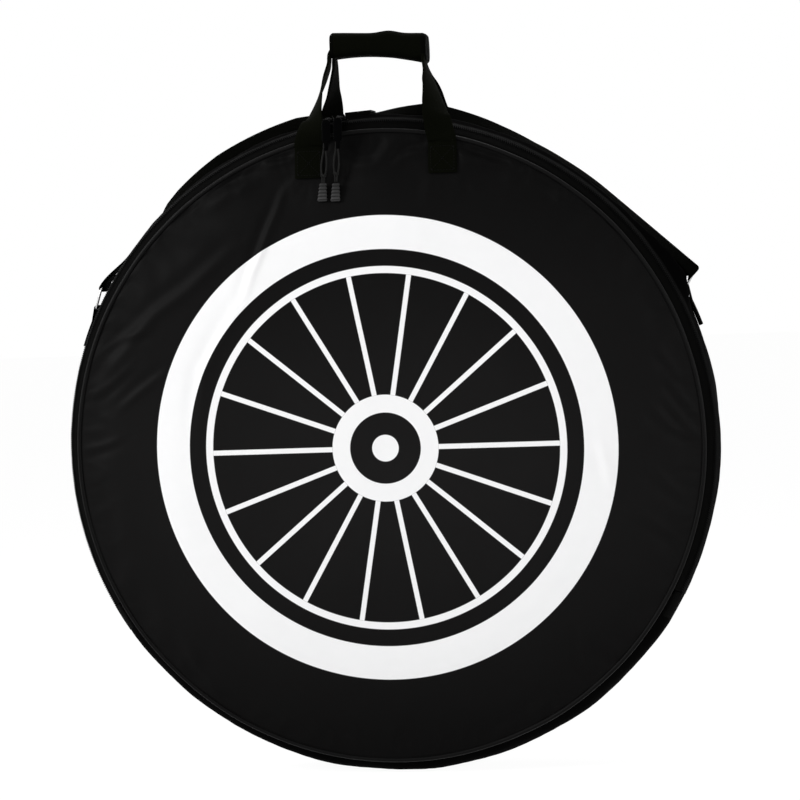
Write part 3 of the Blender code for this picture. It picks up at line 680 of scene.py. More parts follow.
def wheel_mask(u, v):
    """1 where the front panel's plain drawing of a wheel is white."""
    radius = (u * u + v * v).math("SQRT")
    angle = v.math("ARCTAN2", u)
    tyre = ring_mask(radius, RIM_INSIDE, RIM_OUTSIDE)
    line = ring_mask(radius, LINE_INSIDE, LINE_OUTSIDE)
    hub = ring_mask(radius, HUB_INSIDE, HUB_OUTSIDE)
    axle = radius.step_below(AXLE_RADIUS, PRINT_EDGE)
    sector = 2 * math.pi / SPOKES
    away = abs((angle + math.pi + sector / 2) % sector - sector / 2) * radius
    spoke = away.step_below(SPOKE_HALF_WIDTH, PRINT_EDGE)
    reach = ring_mask(radius, HUB_OUTSIDE, LINE_INSIDE)
    white = tyre.math("MAXIMUM", line).math("MAXIMUM", hub).math("MAXIMUM", axle)
    return white.math("MAXIMUM", spoke * reach)


def webbing_finish(name, share=1.0, shine=0.018):
    """Matt ribbed webbing, a little olive where the light catches it."""
    base = scaled(tuple(colours().webbing), share)
    made = Finish(name, {"Specular IOR Level": shine})
    u, v = made.cloth()
    height = ribs(u, v, 0.0016, 0.0011)
    fuzz = made.cloud(400.0, 2.0, made.vector(u, v, 0.0))
    worn = made.mix(fuzz, scaled(base, 0.7), scaled(base, 1.7))
    # Painted shade: the valleys between the ribs are darker than their tops
    made.colour(made.mix(height, scaled(base, 0.6), worn))
    made.rough(fuzz * 0.12 + 0.72)
    made.bump(height + fuzz * 0.2, 0.00018, 0.8)
    return made.material


def tape_finish(name):
    """Fine herringbone zipper tape."""
    made = Finish(name, {"Specular IOR Level": 0.012})
    u, v = made.cloth()
    height = ribs(u, v, 0.0008, 0.0006)
    # Painted shade: the tape's valleys are darker than its raised threads
    made.colour(made.mix(height, (0.0007, 0.0007, 0.0007), (0.0016, 0.0016, 0.0015)))
    made.rough(height * 0.1 + 0.62)
    made.bump(height, 0.00008, 0.6)
    return made.material


def piping_finish(name):
    """Woven cover of the piping cord, cut on the bias."""
    base = scaled(tuple(colours().nylon), 0.22)
    made = Finish(name, {"Specular IOR Level": 0.06})
    u, v = made.cloth()
    threads = weave(u + v, u - v, sizes().weave_pitch * 1.2)
    cloud = made.cloud(25.0, 2.0, made.vector(u, v, 0.0))
    made.colour(made.mix(cloud, scaled(base, 0.7), scaled(base, 1.4)))
    made.rough(cloud * 0.12 + 0.36)
    made.bump(threads + cloud * 0.5, 0.00008, 0.5)
    return made.material


def plastic_finish(name, colour, roughness, grain=900.0, shine=0.18):
    """Moulded plastic or rubber with a fine grain and broad lighter and darker patches."""
    made = Finish(name, {"Specular IOR Level": shine})
    fine = made.cloud(grain, 2.0)
    broad = made.cloud(60.0, 3.0)
    made.colour(made.mix(broad, scaled(colour, 0.85), scaled(colour, 1.25)))
    made.rough(fine * 0.15 + roughness)
    made.bump(fine, 0.00005, 0.6)
    return made.material


def metal_finish(name, colour, roughness):
    """Metal with fine scratches and patches of wear."""
    made = Finish(name, {"Metallic": 1.0})
    scratch = made.cloud(700.0, 4.0)
    patch = made.cloud(90.0, 2.0)
    made.colour(made.mix(patch, scaled(colour, 0.8), colour))
    made.rough(patch * 0.12 + scratch * 0.08 + roughness)
    made.bump(scratch, 0.00002, 0.4)
    return made.material


def lining_finish(name):
    """Thin smooth lining cloth."""
    base = tuple(colours().lining)
    made = Finish(name, {"Specular IOR Level": 0.2, "Sheen Weight": 0.05})
    u, v = made.cloth()
    threads = weave(u, v, sizes().weave_pitch * 0.8)
    cloud = made.cloud(14.0, 3.0, made.vector(u, v, 0.0))
    made.colour(made.mix(cloud, scaled(base, 0.85), scaled(base, 1.15)))
    made.rough(cloud * 0.1 + 0.55)
    made.bump(threads, 0.00005, 0.5)
    return made.material


def pull_finish():
    """Grey rubber with painted shade in its grooves, lighter towards its lower end."""
    made = Finish("pull_rubber", {"Specular IOR Level": 0.12})
    u, v = made.cloth()
    wave = (u * (2 * math.pi * PULL_RIBS / PULL_LENGTH)).math("COSINE")
    groove_shade = (wave * 0.5 + 0.5).math("POWER", 3.0)
    worn = made.cloud(260.0, 3.0, made.vector(u, v, 0.0))
    light = (u / PULL_LENGTH).math("MINIMUM", 1.0) * 0.75 + worn * 0.25
    body = made.mix(light, (0.012, 0.012, 0.012), (0.042, 0.042, 0.042))
    # Painted shade: the grooves between the ribs are darker
    made.colour(made.mix(groove_shade, body, (0.006, 0.006, 0.006)))
    made.rough(worn * 0.15 + 0.45)
    made.bump(worn, 0.0001, 0.5)
    return made.material


def thread_finish(name):
    """Twisted sewing thread."""
    made = Finish(name, {"Specular IOR Level": 0.05})
    twist = made.cloud(1500.0, 1.0)
    made.colour(made.mix(twist, (0.0008, 0.0008, 0.0007), (0.0022, 0.0022, 0.0020)))
    made.rough(twist * 0.1 + 0.5)
    made.bump(twist, 0.00005, 0.5)
    return made.material


def cord_finish():
    """Braided cord of the zipper pulls."""
    made = Finish("braided_cord", {"Specular IOR Level": 0.08})
    u, v = made.cloth()
    braid = weave(u + v * 0.7, u - v * 0.7, 0.0009)
    # Painted shade: the braid's valleys are darker than its raised strands
    made.colour(made.mix(braid, (0.0030, 0.0030, 0.0029), (0.0110, 0.0110, 0.0105)))
    made.rough(braid * 0.1 + 0.55)
    made.bump(braid, 0.00015, 0.8)
    return made.material


def finish_once(maker, name, *details):
    """A material by name, made the first time that it is asked for."""
    return bpy.data.materials.get(name) or maker(name, *details)


def add_mesh(name, points, faces, corners, material):
    """Put a mesh in the scene; corners holds each face corner's cloth coordinates."""
    mesh = bpy.data.meshes.new(name)
    mesh.from_pydata([tuple(point) for point in points], [], faces)
    layer = mesh.uv_layers.new(name="cloth")
    layer.data.foreach_set("uv", np.array(corners, dtype=np.float32).ravel())
    shape = bmesh.new()
    shape.from_mesh(mesh)
    bmesh.ops.recalc_face_normals(shape, faces=shape.faces)
    shape.to_mesh(mesh)
    shape.free()
    mesh.shade_smooth()
    mesh.materials.append(material)
    piece = bpy.data.objects.new(name, mesh)
    bpy.context.scene.collection.objects.link(piece)
    return piece


def loft(name, rings, material, closed=False, sharp=None):
    """Skin equal rings of points into one solid, with capped ends unless it is closed."""
    count = len(rings[0])
    spans = len(rings) if closed else len(rings) - 1
    along = [0.0]
    for i in range(spans):
        low = rings[i]
        high = rings[(i + 1) % len(rings)]
        along.append(along[-1] + sum((b - a).length for a, b in zip(low, high)) / count)
    girth = [0.0]
    middle = rings[len(rings) // 2]
    for j in range(count):
        girth.append(girth[-1] + (middle[(j + 1) % count] - middle[j]).length)
    points = [point for ring in rings for point in ring]
    faces = []
    corners = []
    for i in range(spans):
        first = i * count
        second = ((i + 1) % len(rings)) * count
        for j in range(count):
            k = (j + 1) % count
            faces.append((first + j, first + k, second + k, second + j))
            corners.append((along[i], girth[j]))
            corners.append((along[i], girth[j + 1]))
            corners.append((along[i + 1], girth[j + 1]))
            corners.append((along[i + 1], girth[j]))
    if not closed:
        for start, reach in ((0, along[0]), ((len(rings) - 1) * count, along[-1])):
            faces.append(tuple(range(start, start + count)))
            corners += [(reach, girth[j]) for j in range(count)]
    piece = add_mesh(name, points, faces, corners, material)
    if sharp:
        piece.data.set_sharp_from_angle(angle=math.radians(sharp))
    return piece


def curve_through(stops, steps):
    """Points on a smooth curve through a list of equal tuples of numbers."""
    rows = [np.array(stop, dtype=float) for stop in stops]
    rows = [2 * rows[0] - rows[1]] + rows + [2 * rows[-1] - rows[-2]]
    out = []
    for i in range(1, len(rows) - 2):
        for j in range(steps):
            t = j / steps
            a, b, c, d = rows[i - 1 : i + 3]
            bend = (2 * a - 5 * b + 4 * c - d) * t**2 + (3 * b - a - 3 * c + d) * t**3
            out.append(0.5 * (2 * b + (c - a) * t + bend))
    out.append(rows[-2])
    return out


def tube_rings(path, radius, sides, closed=False):
    """Rings of points round a path."""
    points = [Vector(point) for point in path]
    count = len(points)
    rings = []
    lift = None
    for i, point in enumerate(points):
        if closed:
            ahead = points[(i + 1) % count] - points[i - 1]
        else:
            ahead = points[min(i + 1, count - 1)] - points[max(i - 1, 0)]
        ahead.normalize()
        if lift is None:
            lift = Vector((0, 0, 1)) if abs(ahead.z) < 0.9 else Vector((0, 1, 0))
        lift = (lift - ahead * lift.dot(ahead)).normalized()
        across = ahead.cross(lift)
        ring = []
        for j in range(sides):
            turn = 2 * math.pi * j / sides
            ring.append(point + (lift * math.cos(turn) + across * math.sin(turn)) * radius)
        rings.append(ring)
    return rings


def clamped(share):
    """A number kept between 0 and 1."""
    return min(1.0, max(0.0, share))


def eased(share):
    """A share from 0 to 1 that starts and stops gently."""
    return share * share * (3 - 2 * share)


def rim_noise(turn, scale, height):
    """Noise that runs round the rim and meets itself after a full turn."""
    return noise.noise(Vector((math.cos(turn) * scale, math.sin(turn) * scale, height)))


def rounded_outline(count, power):
    """Places across and out round a rounded rectangle that reaches 1 each way."""
    outline = []
    for j in range(count):
        turn = 2 * math.pi * j / count
        across = math.copysign(abs(math.cos(turn)) ** power, math.cos(turn))
        out = math.copysign(abs(math.sin(turn)) ** power, math.sin(turn))
        outline.append((across, out))
    return outline


def grid_faces(steps):
    """The quads of a square grid of points."""
    row = steps + 1
    faces = []
    for i in range(steps):
        for j in range(steps):
            k = i * row + j
            faces.append((k, k + 1, k + row + 1, k + row))
    return faces


def around(radius, y, angle):
    """A point at a radius and angle from the top of the rim."""
    turn = math.radians(angle)
    return Vector((radius * math.sin(turn), y, AXIS_Z + radius * math.cos(turn)))


def panel_depth(radius):
    """How far the outer face of a panel lies from the middle plane."""
    fall = max(0.0, (radius - FLAT_RADIUS) / DOME_WIDTH)
    return SEAM_HALF_DEPTH + (PANEL_FACE - SEAM_HALF_DEPTH) * (1 - fall**2)


def gusset_radius(y):
    """Outer radius of the gusset's bulge at a depth."""
    return GUSSET_SEAM_RADIUS + GUSSET_BULGE * (1 - min(1.0, abs(y / GUSSET_HALF)) ** 3)


def camera_axes():
    """The camera's right, up and backward directions."""
    turn = math.radians(CAMERA_AZIMUTH)
    tilt = math.radians(CAMERA_ELEVATION)
    roll = math.radians(CAMERA_ROLL)
    back = Vector((math.sin(turn) * math.cos(tilt), -math.cos(turn) * math.cos(tilt), math.sin(tilt)))
    right = Vector((math.cos(turn), math.sin(turn), 0))
    up = back.cross(right)
    rolled_right = right * math.cos(roll) + up * math.sin(roll)
    rolled_up = up * math.cos(roll) - right * math.sin(roll)
    return rolled_right, rolled_up, back


def panel_point(pixel):
    """Where a pixel of the photograph falls on the front panel, as X and height over the axis."""
    right, up, back = camera_axes()
    eye = CAMERA_TARGET + back * CAMERA_DISTANCE
    across = (pixel[0] - PHOTO_SIZE / 2) / FOCAL_PIXELS
    rise = (PHOTO_SIZE / 2 - pixel[1]) / FOCAL_PIXELS
    ray = right * across + up * rise - back
    reach = (-PANEL_FACE - eye.y) / ray.y
    place = eye + ray * reach
    return place.x, place.z - AXIS_Z


def placed_lines(table):
    """The lines of a table, moved from the photograph's pixels to the panel."""
    return [([panel_point(p) for p in line], height, width) for line, height, width in table]


def disc_grid(steps):
    """A round disc of even quads: its points with radius 1, its faces and its edge."""
    points = []
    for i in range(steps + 1):
        for j in range(steps + 1):
            a = 2 * i / steps - 1
            b = 2 * j / steps - 1
            points.append((a * math.sqrt(1 - b * b / 2), b * math.sqrt(1 - a * a / 2)))
    row = steps + 1
    edge = [i * row for i in range(steps)]
    edge += [steps * row + j for j in range(steps)]
    edge += [i * row + steps for i in range(steps, 0, -1)]
    edge += [j for j in range(steps, 0, -1)]
    return points, grid_faces(steps), edge


def positions(mesh):
    """The mesh's points as rows of numbers."""
    rows = np.zeros(len(mesh.vertices) * 3, dtype=np.float32)
    mesh.vertices.foreach_get("co", rows)
    return rows.reshape(-1, 3).astype(float)


def set_positions(mesh, rows):
    """Move the mesh's points."""
    mesh.vertices.foreach_set("co", rows.astype(np.float32).ravel())
    mesh.update()


def settle_cloth(piece, pinned, side, growth):
    """Let a cloth that is cut a little large buckle under pressure, within limits on its moves."""
    group = piece.vertex_groups.new(name="pinned")
    group.add(pinned, 1.0, "REPLACE")
    before = positions(piece.data)
    cloth = piece.modifiers.new("settle", "CLOTH")
    settings = cloth.settings
    for key, value in CLOTH_SETTINGS.items():
        setattr(settings, key, value)
    settings.uniform_pressure_force = SETTLE_PRESSURE
    settings.shrink_min = -growth
    settings.effector_weights.gravity = 0
    cloth.collision_settings.use_collision = False
    scene = bpy.context.scene
    for step in range(1, SETTLE_FRAMES + 1):
        scene.frame_set(step)
    graph = bpy.context.evaluated_depsgraph_get()
    after = positions(piece.evaluated_get(graph).data)
    piece.modifiers.remove(cloth)
    piece.vertex_groups.remove(group)
    move = after - before
    length = np.linalg.norm(move, axis=1)
    limit = np.where(move[:, 1] * side > 0, SETTLE_OUT, SETTLE_IN)
    share = limit * np.tanh(length / limit) / np.maximum(length, 1e-9)
    set_positions(piece.data, before + move * share[:, None])
    scene.frame_set(1)


def held_points(piece, stance):
    """Points of a panel's cloth that lie under the handles' sewn ends."""
    held = []
    for index, row in enumerate(positions(piece.data)):
        beside = abs(abs(row[0]) - stance)
        if beside < SEWN_REST and row[2] - AXIS_Z > SEWN_LOW - 0.006:
            held.append(index)
    return held


def subdivide_once(piece):
    """Apply one level of subdivision."""
    smooth = piece.modifiers.new("smooth", "SUBSURF")
    smooth.levels = 1
    smooth.render_levels = 1
    smooth.boundary_smooth = "PRESERVE_CORNERS"
    graph = bpy.context.evaluated_depsgraph_get()
    made = bpy.data.meshes.new_from_object(piece.evaluated_get(graph))
    piece.modifiers.remove(smooth)
    old = piece.data
    piece.data = made
    made.name = piece.name
    bpy.data.meshes.remove(old)


def crease_field(places, line, height, width):
    """Height of one crease over the panel: a soft ridge beside a shallow valley."""
    knots = [np.array(point) for point in line]
    best = np.full(len(places), 1e9)
    signed = np.zeros(len(places))
    travel = np.zeros(len(places))
    lengths = [np.linalg.norm(b - a) for a, b in zip(knots, knots[1:])]
    total = sum(lengths)
    start = 0.0
    for a, b, length in zip(knots, knots[1:], lengths):
        along = (b - a) / length
        offset = places - a
        t = np.clip(offset @ along, 0, length)
        apart = offset - np.outer(t, along)
        distance = np.linalg.norm(apart, axis=1)
        side = offset[:, 0] * along[1] - offset[:, 1] * along[0]
        nearer = distance < best
        best = np.where(nearer, distance, best)
        signed = np.where(nearer, np.sign(side) * distance, signed)
        travel = np.where(nearer, (start + t) / total, travel)
        start += length
    taper = np.sin(np.pi * np.clip(travel, 0.02, 0.98)) ** 0.6
    ridge = np.exp(-((signed / width) ** 2))
    valley = 0.7 * np.exp(-(((signed - 1.6 * width) / (1.2 * width)) ** 2))
    return height * taper * (ridge - valley)


def rim_puckers(angle, inward, seed):
    """Small gathers that run in from the seam and fade after a few centimetres."""
    wave = math.sin(angle * 64 + rim_noise(angle, 9, seed) * 9)
    patch = max(0.0, rim_noise(angle, 3, seed + 5) + 0.25)
    return PANEL_GATHERS * patch * wave * math.exp(-inward / 0.016) * min(1.0, inward / 0.004)


def panel_relief(places, seed, creases, sags, strength):
    """Height over the smooth panel at each place: undulation, puckers, creases and sags."""
    relief = np.zeros(len(places))
    for index, (x, z) in enumerate(places):
        radius = math.hypot(x, z)
        angle = math.atan2(z, x)
        inward = max(0.0, SEAM_RADIUS - radius)
        edge = min(1.0, inward / 0.03)
        broad = noise.noise(Vector((x * 7, z * 7, seed))) * PANEL_WAVES
        medium = noise.noise(Vector((x * 19, z * 13, seed + 3))) * PANEL_RIPPLES
        relief[index] = (broad + medium) * edge + rim_puckers(angle, inward, seed)
    for line, height, width in creases:
        relief += strength * crease_field(places, line, height, width)
    for line, height, width in sags:
        relief -= strength * crease_field(places, line, height, width)
    inward = np.maximum(0.0, SEAM_RADIUS - np.linalg.norm(places, axis=1))
    return relief * np.minimum(1.0, inward / 0.004)


def panel_sheet(name, side, steps, material):
    """A round domed sheet on a panel's smooth outer face."""
    unit, faces, edge = disc_grid(steps)
    flat = [(a * CLOTH_RADIUS, b * CLOTH_RADIUS) for a, b in unit]
    points = [(x, side * panel_depth(math.hypot(x, z)), AXIS_Z + z) for x, z in flat]
    corners = [flat[index] for face in faces for index in face]
    return add_mesh(name, points, faces, corners, material), edge


def raise_panel(piece, side, relief, stance):
    """Move a panel's points out by their relief, which the sewn ends flatten and the padding limits."""
    rows = positions(piece.data)
    for index, row in enumerate(rows):
        height = row[2] - AXIS_Z
        beside = max(0.0, abs(abs(row[0]) - stance) - WEBBING_WIDTH / 2)
        below = max(0.0, SEWN_LOW - height)
        free = min(1.0, math.hypot(beside, below) / 0.006)
        smooth = panel_depth(math.hypot(row[0], height))
        depth = row[1] * side + relief[index] * free
        row[1] = side * max(depth, smooth - DEEPEST_RELIEF * free)
        if free < 1.0:
            row[1] = side * min(row[1] * side, smooth + 0.0002 + 0.003 * free)
    set_positions(piece.data, rows)


def face_outward(piece, side):
    """Turn an open sheet's faces to the outside of the bag."""
    if piece.data.polygons[0].normal.y * side < 0:
        piece.data.flip_normals()


def panel_cloth(name, side, steps, material, stance, seed, creases, sags=()):
    """A panel's cloth: it settles, is refined and then gets its creases."""
    cloth, edge = panel_sheet(name, side, steps, material)
    face_outward(cloth, side)
    settle_cloth(cloth, edge + held_points(cloth, stance), side, sizes().cloth_growth)
    subdivide_once(cloth)
    places = positions(cloth.data)[:, [0, 2]] - np.array([0, AXIS_Z])
    relief = panel_relief(places, seed, creases, sags, sizes().crease_strength)
    raise_panel(cloth, side, relief, stance)
    return cloth


def fold_blend(piece):
    """Bake a piece's placement into its mesh."""
    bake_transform(piece)


class WHEELBAG_OT_front_panel(bpy.types.Operator):
    """Build the front panel's cloth as one sheet"""

    bl_idname = "wheel_bag.front_panel"
    bl_label = "Front panel"

    def execute(self, context):
        material = nylon_finish("front_panel_nylon", drawn=True)
        lines = (placed_lines(LONG_CREASES), placed_lines(TOP_SAGS))
        cloth = panel_cloth("front_panel_cloth", -1, 148, material, FRONT_STANCE, 2.0, *lines)
        fold_blend(cloth)
        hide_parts("front_panel_shell", "lower_front_shell")
        return {"FINISHED"}


class WHEELBAG_OT_back_panel(bpy.types.Operator):
    """Build the back panel's cloth"""

    bl_idname = "wheel_bag.back_panel"
    bl_label = "Back panel"

    def execute(self, context):
        material = finish_once(nylon_finish, "plain_nylon", False, 0.6)
        cloth = panel_cloth("back_panel_cloth", 1, 80, material, REAR_STANCE, 21.0, BACK_CREASES)
        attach(cloth, "shell")
        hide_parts("back_panel_shell")
        return {"FINISHED"}


def padding_piece(name, side, steps):
    """Foam under its lining: one lens-shaped pad behind a panel."""
    unit, faces, edge = disc_grid(steps)
    radius = SEAM_RADIUS - PADDING_GAP
    flat = [(a * radius, b * radius) for a, b in unit]
    count = len(flat)
    points = []
    for inset in (PADDING_INSET, LINING_INSET):
        for x, z in flat:
            reach = math.hypot(x, z)
            closing = max(0.0, (reach - radius + PADDING_EDGE) / PADDING_EDGE) ** 2 * 0.0018
            shift = closing if inset == PADDING_INSET else -closing
            quilt = 0.0
            if inset != PADDING_INSET and reach > 0.09:
                quilt = 0.0005 * noise.noise(Vector((x * 16, z * 16, 3.0 + side)))
            points.append((x, side * (panel_depth(reach) - inset - shift + quilt), AXIS_Z + z))
    solid = list(faces)
    solid += [tuple(index + count for index in reversed(face)) for face in faces]
    for i, low in enumerate(edge):
        high = edge[(i + 1) % len(edge)]
        solid.append((low, high, high + count, low + count))
    corners = [flat[index % count] for face in solid for index in face]
    material = finish_once(lining_finish, "lining_cloth")
    return add_mesh(name, points, solid, corners, material)


class WHEELBAG_OT_padding(bpy.types.Operator):
    """Build the padding and lining behind both panels, and finish the hub guards"""

    bl_idname = "wheel_bag.padding"
    bl_label = "Padding"

    def execute(self, context):
        front = padding_piece("front_padding", -1, 116)
        fold_blend(front)
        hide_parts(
            "front_panel_foam", "front_panel_lining", "lower_front_foam", "lower_front_lining"
        )
        back = padding_piece("back_padding", 1, 60)
        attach(back, "shell")
        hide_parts("back_panel_foam", "back_panel_lining")
        guard = plastic_finish("hub_guard_plastic", (0.012, 0.012, 0.012), 0.42)
        for name in ("hub_guard_front", "hub_guard_back"):
            dress_node(name, guard, 0.0004)
        return {"FINISHED"}


def dress_node(name, material, bevel=0.0):
    """Give a node of the frame its finish and softened edges."""
    node = frame["nodes"][name]
    node.data.materials.clear()
    node.data.materials.append(material)
    if bevel:
        soften = node.modifiers.new("soften", "BEVEL")
        soften.width = bevel
        soften.segments = 3
        soften.limit_method = "ANGLE"
        soften.angle_limit = math.radians(30)


def gusset_point(angle, y, seed, drop=0.0):
    """A point on the gusset's wrinkled bulge, which is full enough at the top to meet the strap."""
    turn = math.radians(angle)
    edge = min(GUSSET_EDGE - abs(y), 0.02)
    broad = rim_noise(turn, 6, y * 30 + seed) * GUSSET_WAVES * min(1.0, edge / 0.012)
    gather = rim_noise(turn, 38, y * 12 + seed)
    pucker = gather * GUSSET_GATHERS * min(1.0, edge / 0.003) * math.exp(-max(0.0, edge) / 0.014)
    signed = (angle + 180) % 360 - 180
    fade = max(0.0, 1 - (abs(signed) / SWELL_END_ANGLE) ** 6)
    under = fade * (1 - math.exp(-(((signed + ADJUSTER_ANGLE) / 4.5) ** 4)))
    swell = STRAP_SWELL * under * max(0.0, 1 - ((y - 0.010) / 0.028) ** 2)
    side = FOLD_FRONT_Y if y < FOLD_TOP_Y else FOLD_BACK_Y
    away = min(1.0, (y - FOLD_TOP_Y) / (side - FOLD_TOP_Y))
    ripple = 1 + 0.25 * rim_noise(turn, 30, seed + 8)
    swell = max(swell, between(GUSSET_FOLD, signed) * ripple * (1 - eased(away)))
    point = around(gusset_radius(y) - 0.0007 + broad + pucker + swell - drop, y, angle)
    point.z = max(point.z, 0.0003 + drop)
    return point


def gusset_cloth(name, start, end, front, back, seed):
    """One stretch of the gusset's cloth, with both faces."""
    steps = max(8, round((end - start) * 1.35))
    across = 26
    rings = []
    for i in range(steps + 1):
        angle = start + (end - start) * i / steps
        depths = [front + (back - front) * j / across for j in range(across + 1)]
        outer = [gusset_point(angle, y, seed) for y in depths]
        inner = [gusset_point(angle, y, seed, GUSSET_CLOTH) for y in reversed(depths)]
        rings.append(outer + inner)
    # Painted shade: the gusset is the panels' nylon at 0.16 of its colour, darkened for the shade it
    # lies in
    material = finish_once(nylon_finish, "gusset_nylon", False, 0.16, 0.001)
    piece = loft(name, rings, material, sharp=50)
    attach(piece, "shell")
    return piece


class WHEELBAG_OT_gusset(bpy.types.Operator):
    """Build the gusset: the band behind the zipper and the piece under the bag"""

    bl_idname = "wheel_bag.gusset"
    bl_label = "Gusset"

    def execute(self, context):
        front = ZIPPER_Y + TAPE_SPLIT / 2 + TAPE_WIDTH - 0.0006
        upper = gusset_cloth("gusset_upper_cloth", -JOIN_ANGLE, JOIN_ANGLE, front, GUSSET_EDGE, 4.0)
        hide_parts("gusset_upper")
        low = JOIN_ANGLE + 0.05
        lower = gusset_cloth("gusset_lower_cloth", low, 360 - low, -GUSSET_EDGE, GUSSET_EDGE, 9.0)
        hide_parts("gusset_lower")
        return {"FINISHED"}


def piping_piece(name, side):
    """A full ring of piping cord that wanders a little with the cloth."""
    steps = 360
    path = []
    for i in range(steps):
        angle = 360 * i / steps
        wander = rim_noise(math.radians(angle), 5, side * 4.0) * PIPING_WANDER
        radius = SEAM_RADIUS + PIPING_OUT + wander * 0.5
        path.append(around(radius, side * (abs(PIPING_DEPTH) + wander), angle))
    rings = tube_rings(path, sizes().piping_radius, 12, closed=True)
    return loft(name, rings, finish_once(piping_finish, "piping_cover"), closed=True)


class WHEELBAG_OT_piping(bpy.types.Operator):
    """Build the piping of the front and back seams"""

    bl_idname = "wheel_bag.piping"
    bl_label = "Piping"

    def execute(self, context):
        front = piping_piece("front_piping_cord", -1)
        fold_blend(front)
        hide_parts("front_piping_upper", "front_piping_lower")
        back = piping_piece("back_piping_cord", 1)
        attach(back, "shell")
        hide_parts("back_piping")
        return {"FINISHED"}


def curved_section(depths, angle, top, bottom):
    """Points round a thin strip that lies at two heights over the gusset's smooth bulge."""
    outer = [around(gusset_radius(y) + top, y, angle) for y in depths]
    inner = [around(gusset_radius(y) + bottom, y, angle) for y in reversed(depths)]
    return outer + inner


def zipper_strip(name, front, back, reach):
    """One tape of the zipper, lying in the gusset's bulge."""
    steps = 260
    depths = [front + (back - front) * j / 4 for j in range(5)]
    rings = []
    for i in range(steps + 1):
        angle = -reach + 2 * reach * i / steps
        top = rim_noise(math.radians(angle), 22, front * 60) * 0.0005 - 0.0002
        rings.append(curved_section(depths, angle, top, top - TAPE_THICKNESS))
    piece = loft(name, rings, finish_once(tape_finish, "zipper_tape"), sharp=50)
    return piece


def tooth_block(angle, near, far, offset):
    """One tooth of the coil as eight points and six faces, rounded by its taper."""
    half = math.degrees(TOOTH_PITCH * 0.30 / BODY_RADIUS)
    points = []
    for y, taper in ((near, 1.0), (far, 0.72)):
        for spread, rise in ((-1, 0.0), (1, 0.0), (0.55, 1.0), (-0.55, 1.0)):
            radius = gusset_radius(y) + rise * TOOTH_HEIGHT
            points.append(around(radius, y, angle + spread * half * taper))
    faces = [(0, 1, 5, 4), (1, 2, 6, 5), (2, 3, 7, 6), (3, 0, 4, 7), (0, 3, 2, 1), (4, 5, 6, 7)]
    return points, [tuple(index + offset for index in face) for face in faces]


def coil_piece(name, outside, inside, reach, shift):
    """One half of the zipper's coil, tooth by tooth."""
    pitch = math.degrees(TOOTH_PITCH / BODY_RADIUS)
    count = int(2 * reach / pitch)
    points = []
    faces = []
    for i in range(count):
        angle = -reach + pitch * (i + 0.5 + shift)
        block, sides = tooth_block(angle, outside, inside, len(points))
        points += block
        faces += sides
    corners = [(points[index].x, points[index].z) for face in faces for index in face]
    black = (0.0018, 0.0018, 0.0018)
    material = finish_once(plastic_finish, "zipper_teeth", black, 0.45, 900.0, 0.03)
    piece = add_mesh(name, points, faces, corners, material)
    piece.data.set_sharp_from_angle(angle=math.radians(40))
    return piece


class WHEELBAG_OT_zipper(bpy.types.Operator):
    """Build the zipper's tapes, teeth and end tabs"""

    bl_idname = "wheel_bag.zipper"
    bl_label = "Zipper"

    def execute(self, context):
        split = TAPE_SPLIT / 2
        front_reach = math.degrees(math.acos((FOLD_Z + 0.0006 - AXIS_Z) / (BODY_RADIUS - 0.0035)))
        front = zipper_strip("zipper_tape_front_cloth", -GUSSET_EDGE, ZIPPER_Y - split, front_reach)
        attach(front, "front_panel")
        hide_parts("zipper_tape_front")
        rear_edge = ZIPPER_Y + split + TAPE_WIDTH
        rear = zipper_strip("zipper_tape_rear_cloth", ZIPPER_Y + split, rear_edge, JOIN_ANGLE)
        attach(rear, "shell")
        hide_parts("zipper_tape_rear")
        near = ZIPPER_Y - TOOTH_LENGTH
        front_coil = coil_piece("zipper_coil_front_teeth", near, ZIPPER_Y - 0.0001, front_reach, 0.0)
        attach(front_coil, "front_panel")
        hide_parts("zipper_coil_front")
        far = ZIPPER_Y + TOOTH_LENGTH
        rear_coil = coil_piece("zipper_coil_rear_teeth", far, ZIPPER_Y + 0.0001, JOIN_ANGLE, 0.5)
        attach(rear_coil, "shell")
        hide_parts("zipper_coil_rear")
        for name, side in (("left", -1), ("right", 1)):
            depths = [-GUSSET_EDGE + 0.0030 + END_TAB_WIDTH * j / 8 for j in range(9)]
            angles = [side * (front_reach + 0.15 + END_TAB_ANGLE * i / 8) for i in range(9)]
            rings = [curved_section(depths, angle, 0.0005, -0.0008) for angle in angles]
            material = finish_once(tape_finish, "zipper_tape")
            tab = loft("zipper_end_tab_" + name + "_cloth", rings, material, sharp=50)
            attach(tab, "shell")
            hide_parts("zipper_end_tab_" + name)
        metal = metal_finish("slider_metal", (0.0014, 0.0014, 0.0015), 0.42)
        for name in ("slider_left", "slider_right"):
            dress_node(name, metal, 0.0003)
        return {"FINISHED"}


def pull_cord_path(eye, front):
    """The cord's line: down from its end piece's left, over the bridge and down the right."""
    back = ZIPPER_Y + 0.0033
    drop = PULL_DROP + 0.0030
    half = [
        (0.0010, front, -drop),
        (0.0012, front, -drop + 0.0070),
        (0.0024, front - 0.0002, -drop + 0.0130),
        (0.0030, front - 0.0004, -drop * 0.72),
        (0.0024, front - 0.0002, -drop * 0.60),
        (0.0013, front, -drop * 0.48),
        (0.0013, front, -drop * 0.2),
        (0.0011, front + 0.0008, -0.0030),
        (0.0011, front + 0.0050, -0.0002),
        (0.0011, (front + back) / 2, 0.0),
        (0.0010, back - 0.0006, 0.0),
    ]
    other = [(-x, y, z) for x, y, z in reversed(half)]
    return [Vector((eye.x + p[0], p[1], eye.z + p[2])) for p in half + other]


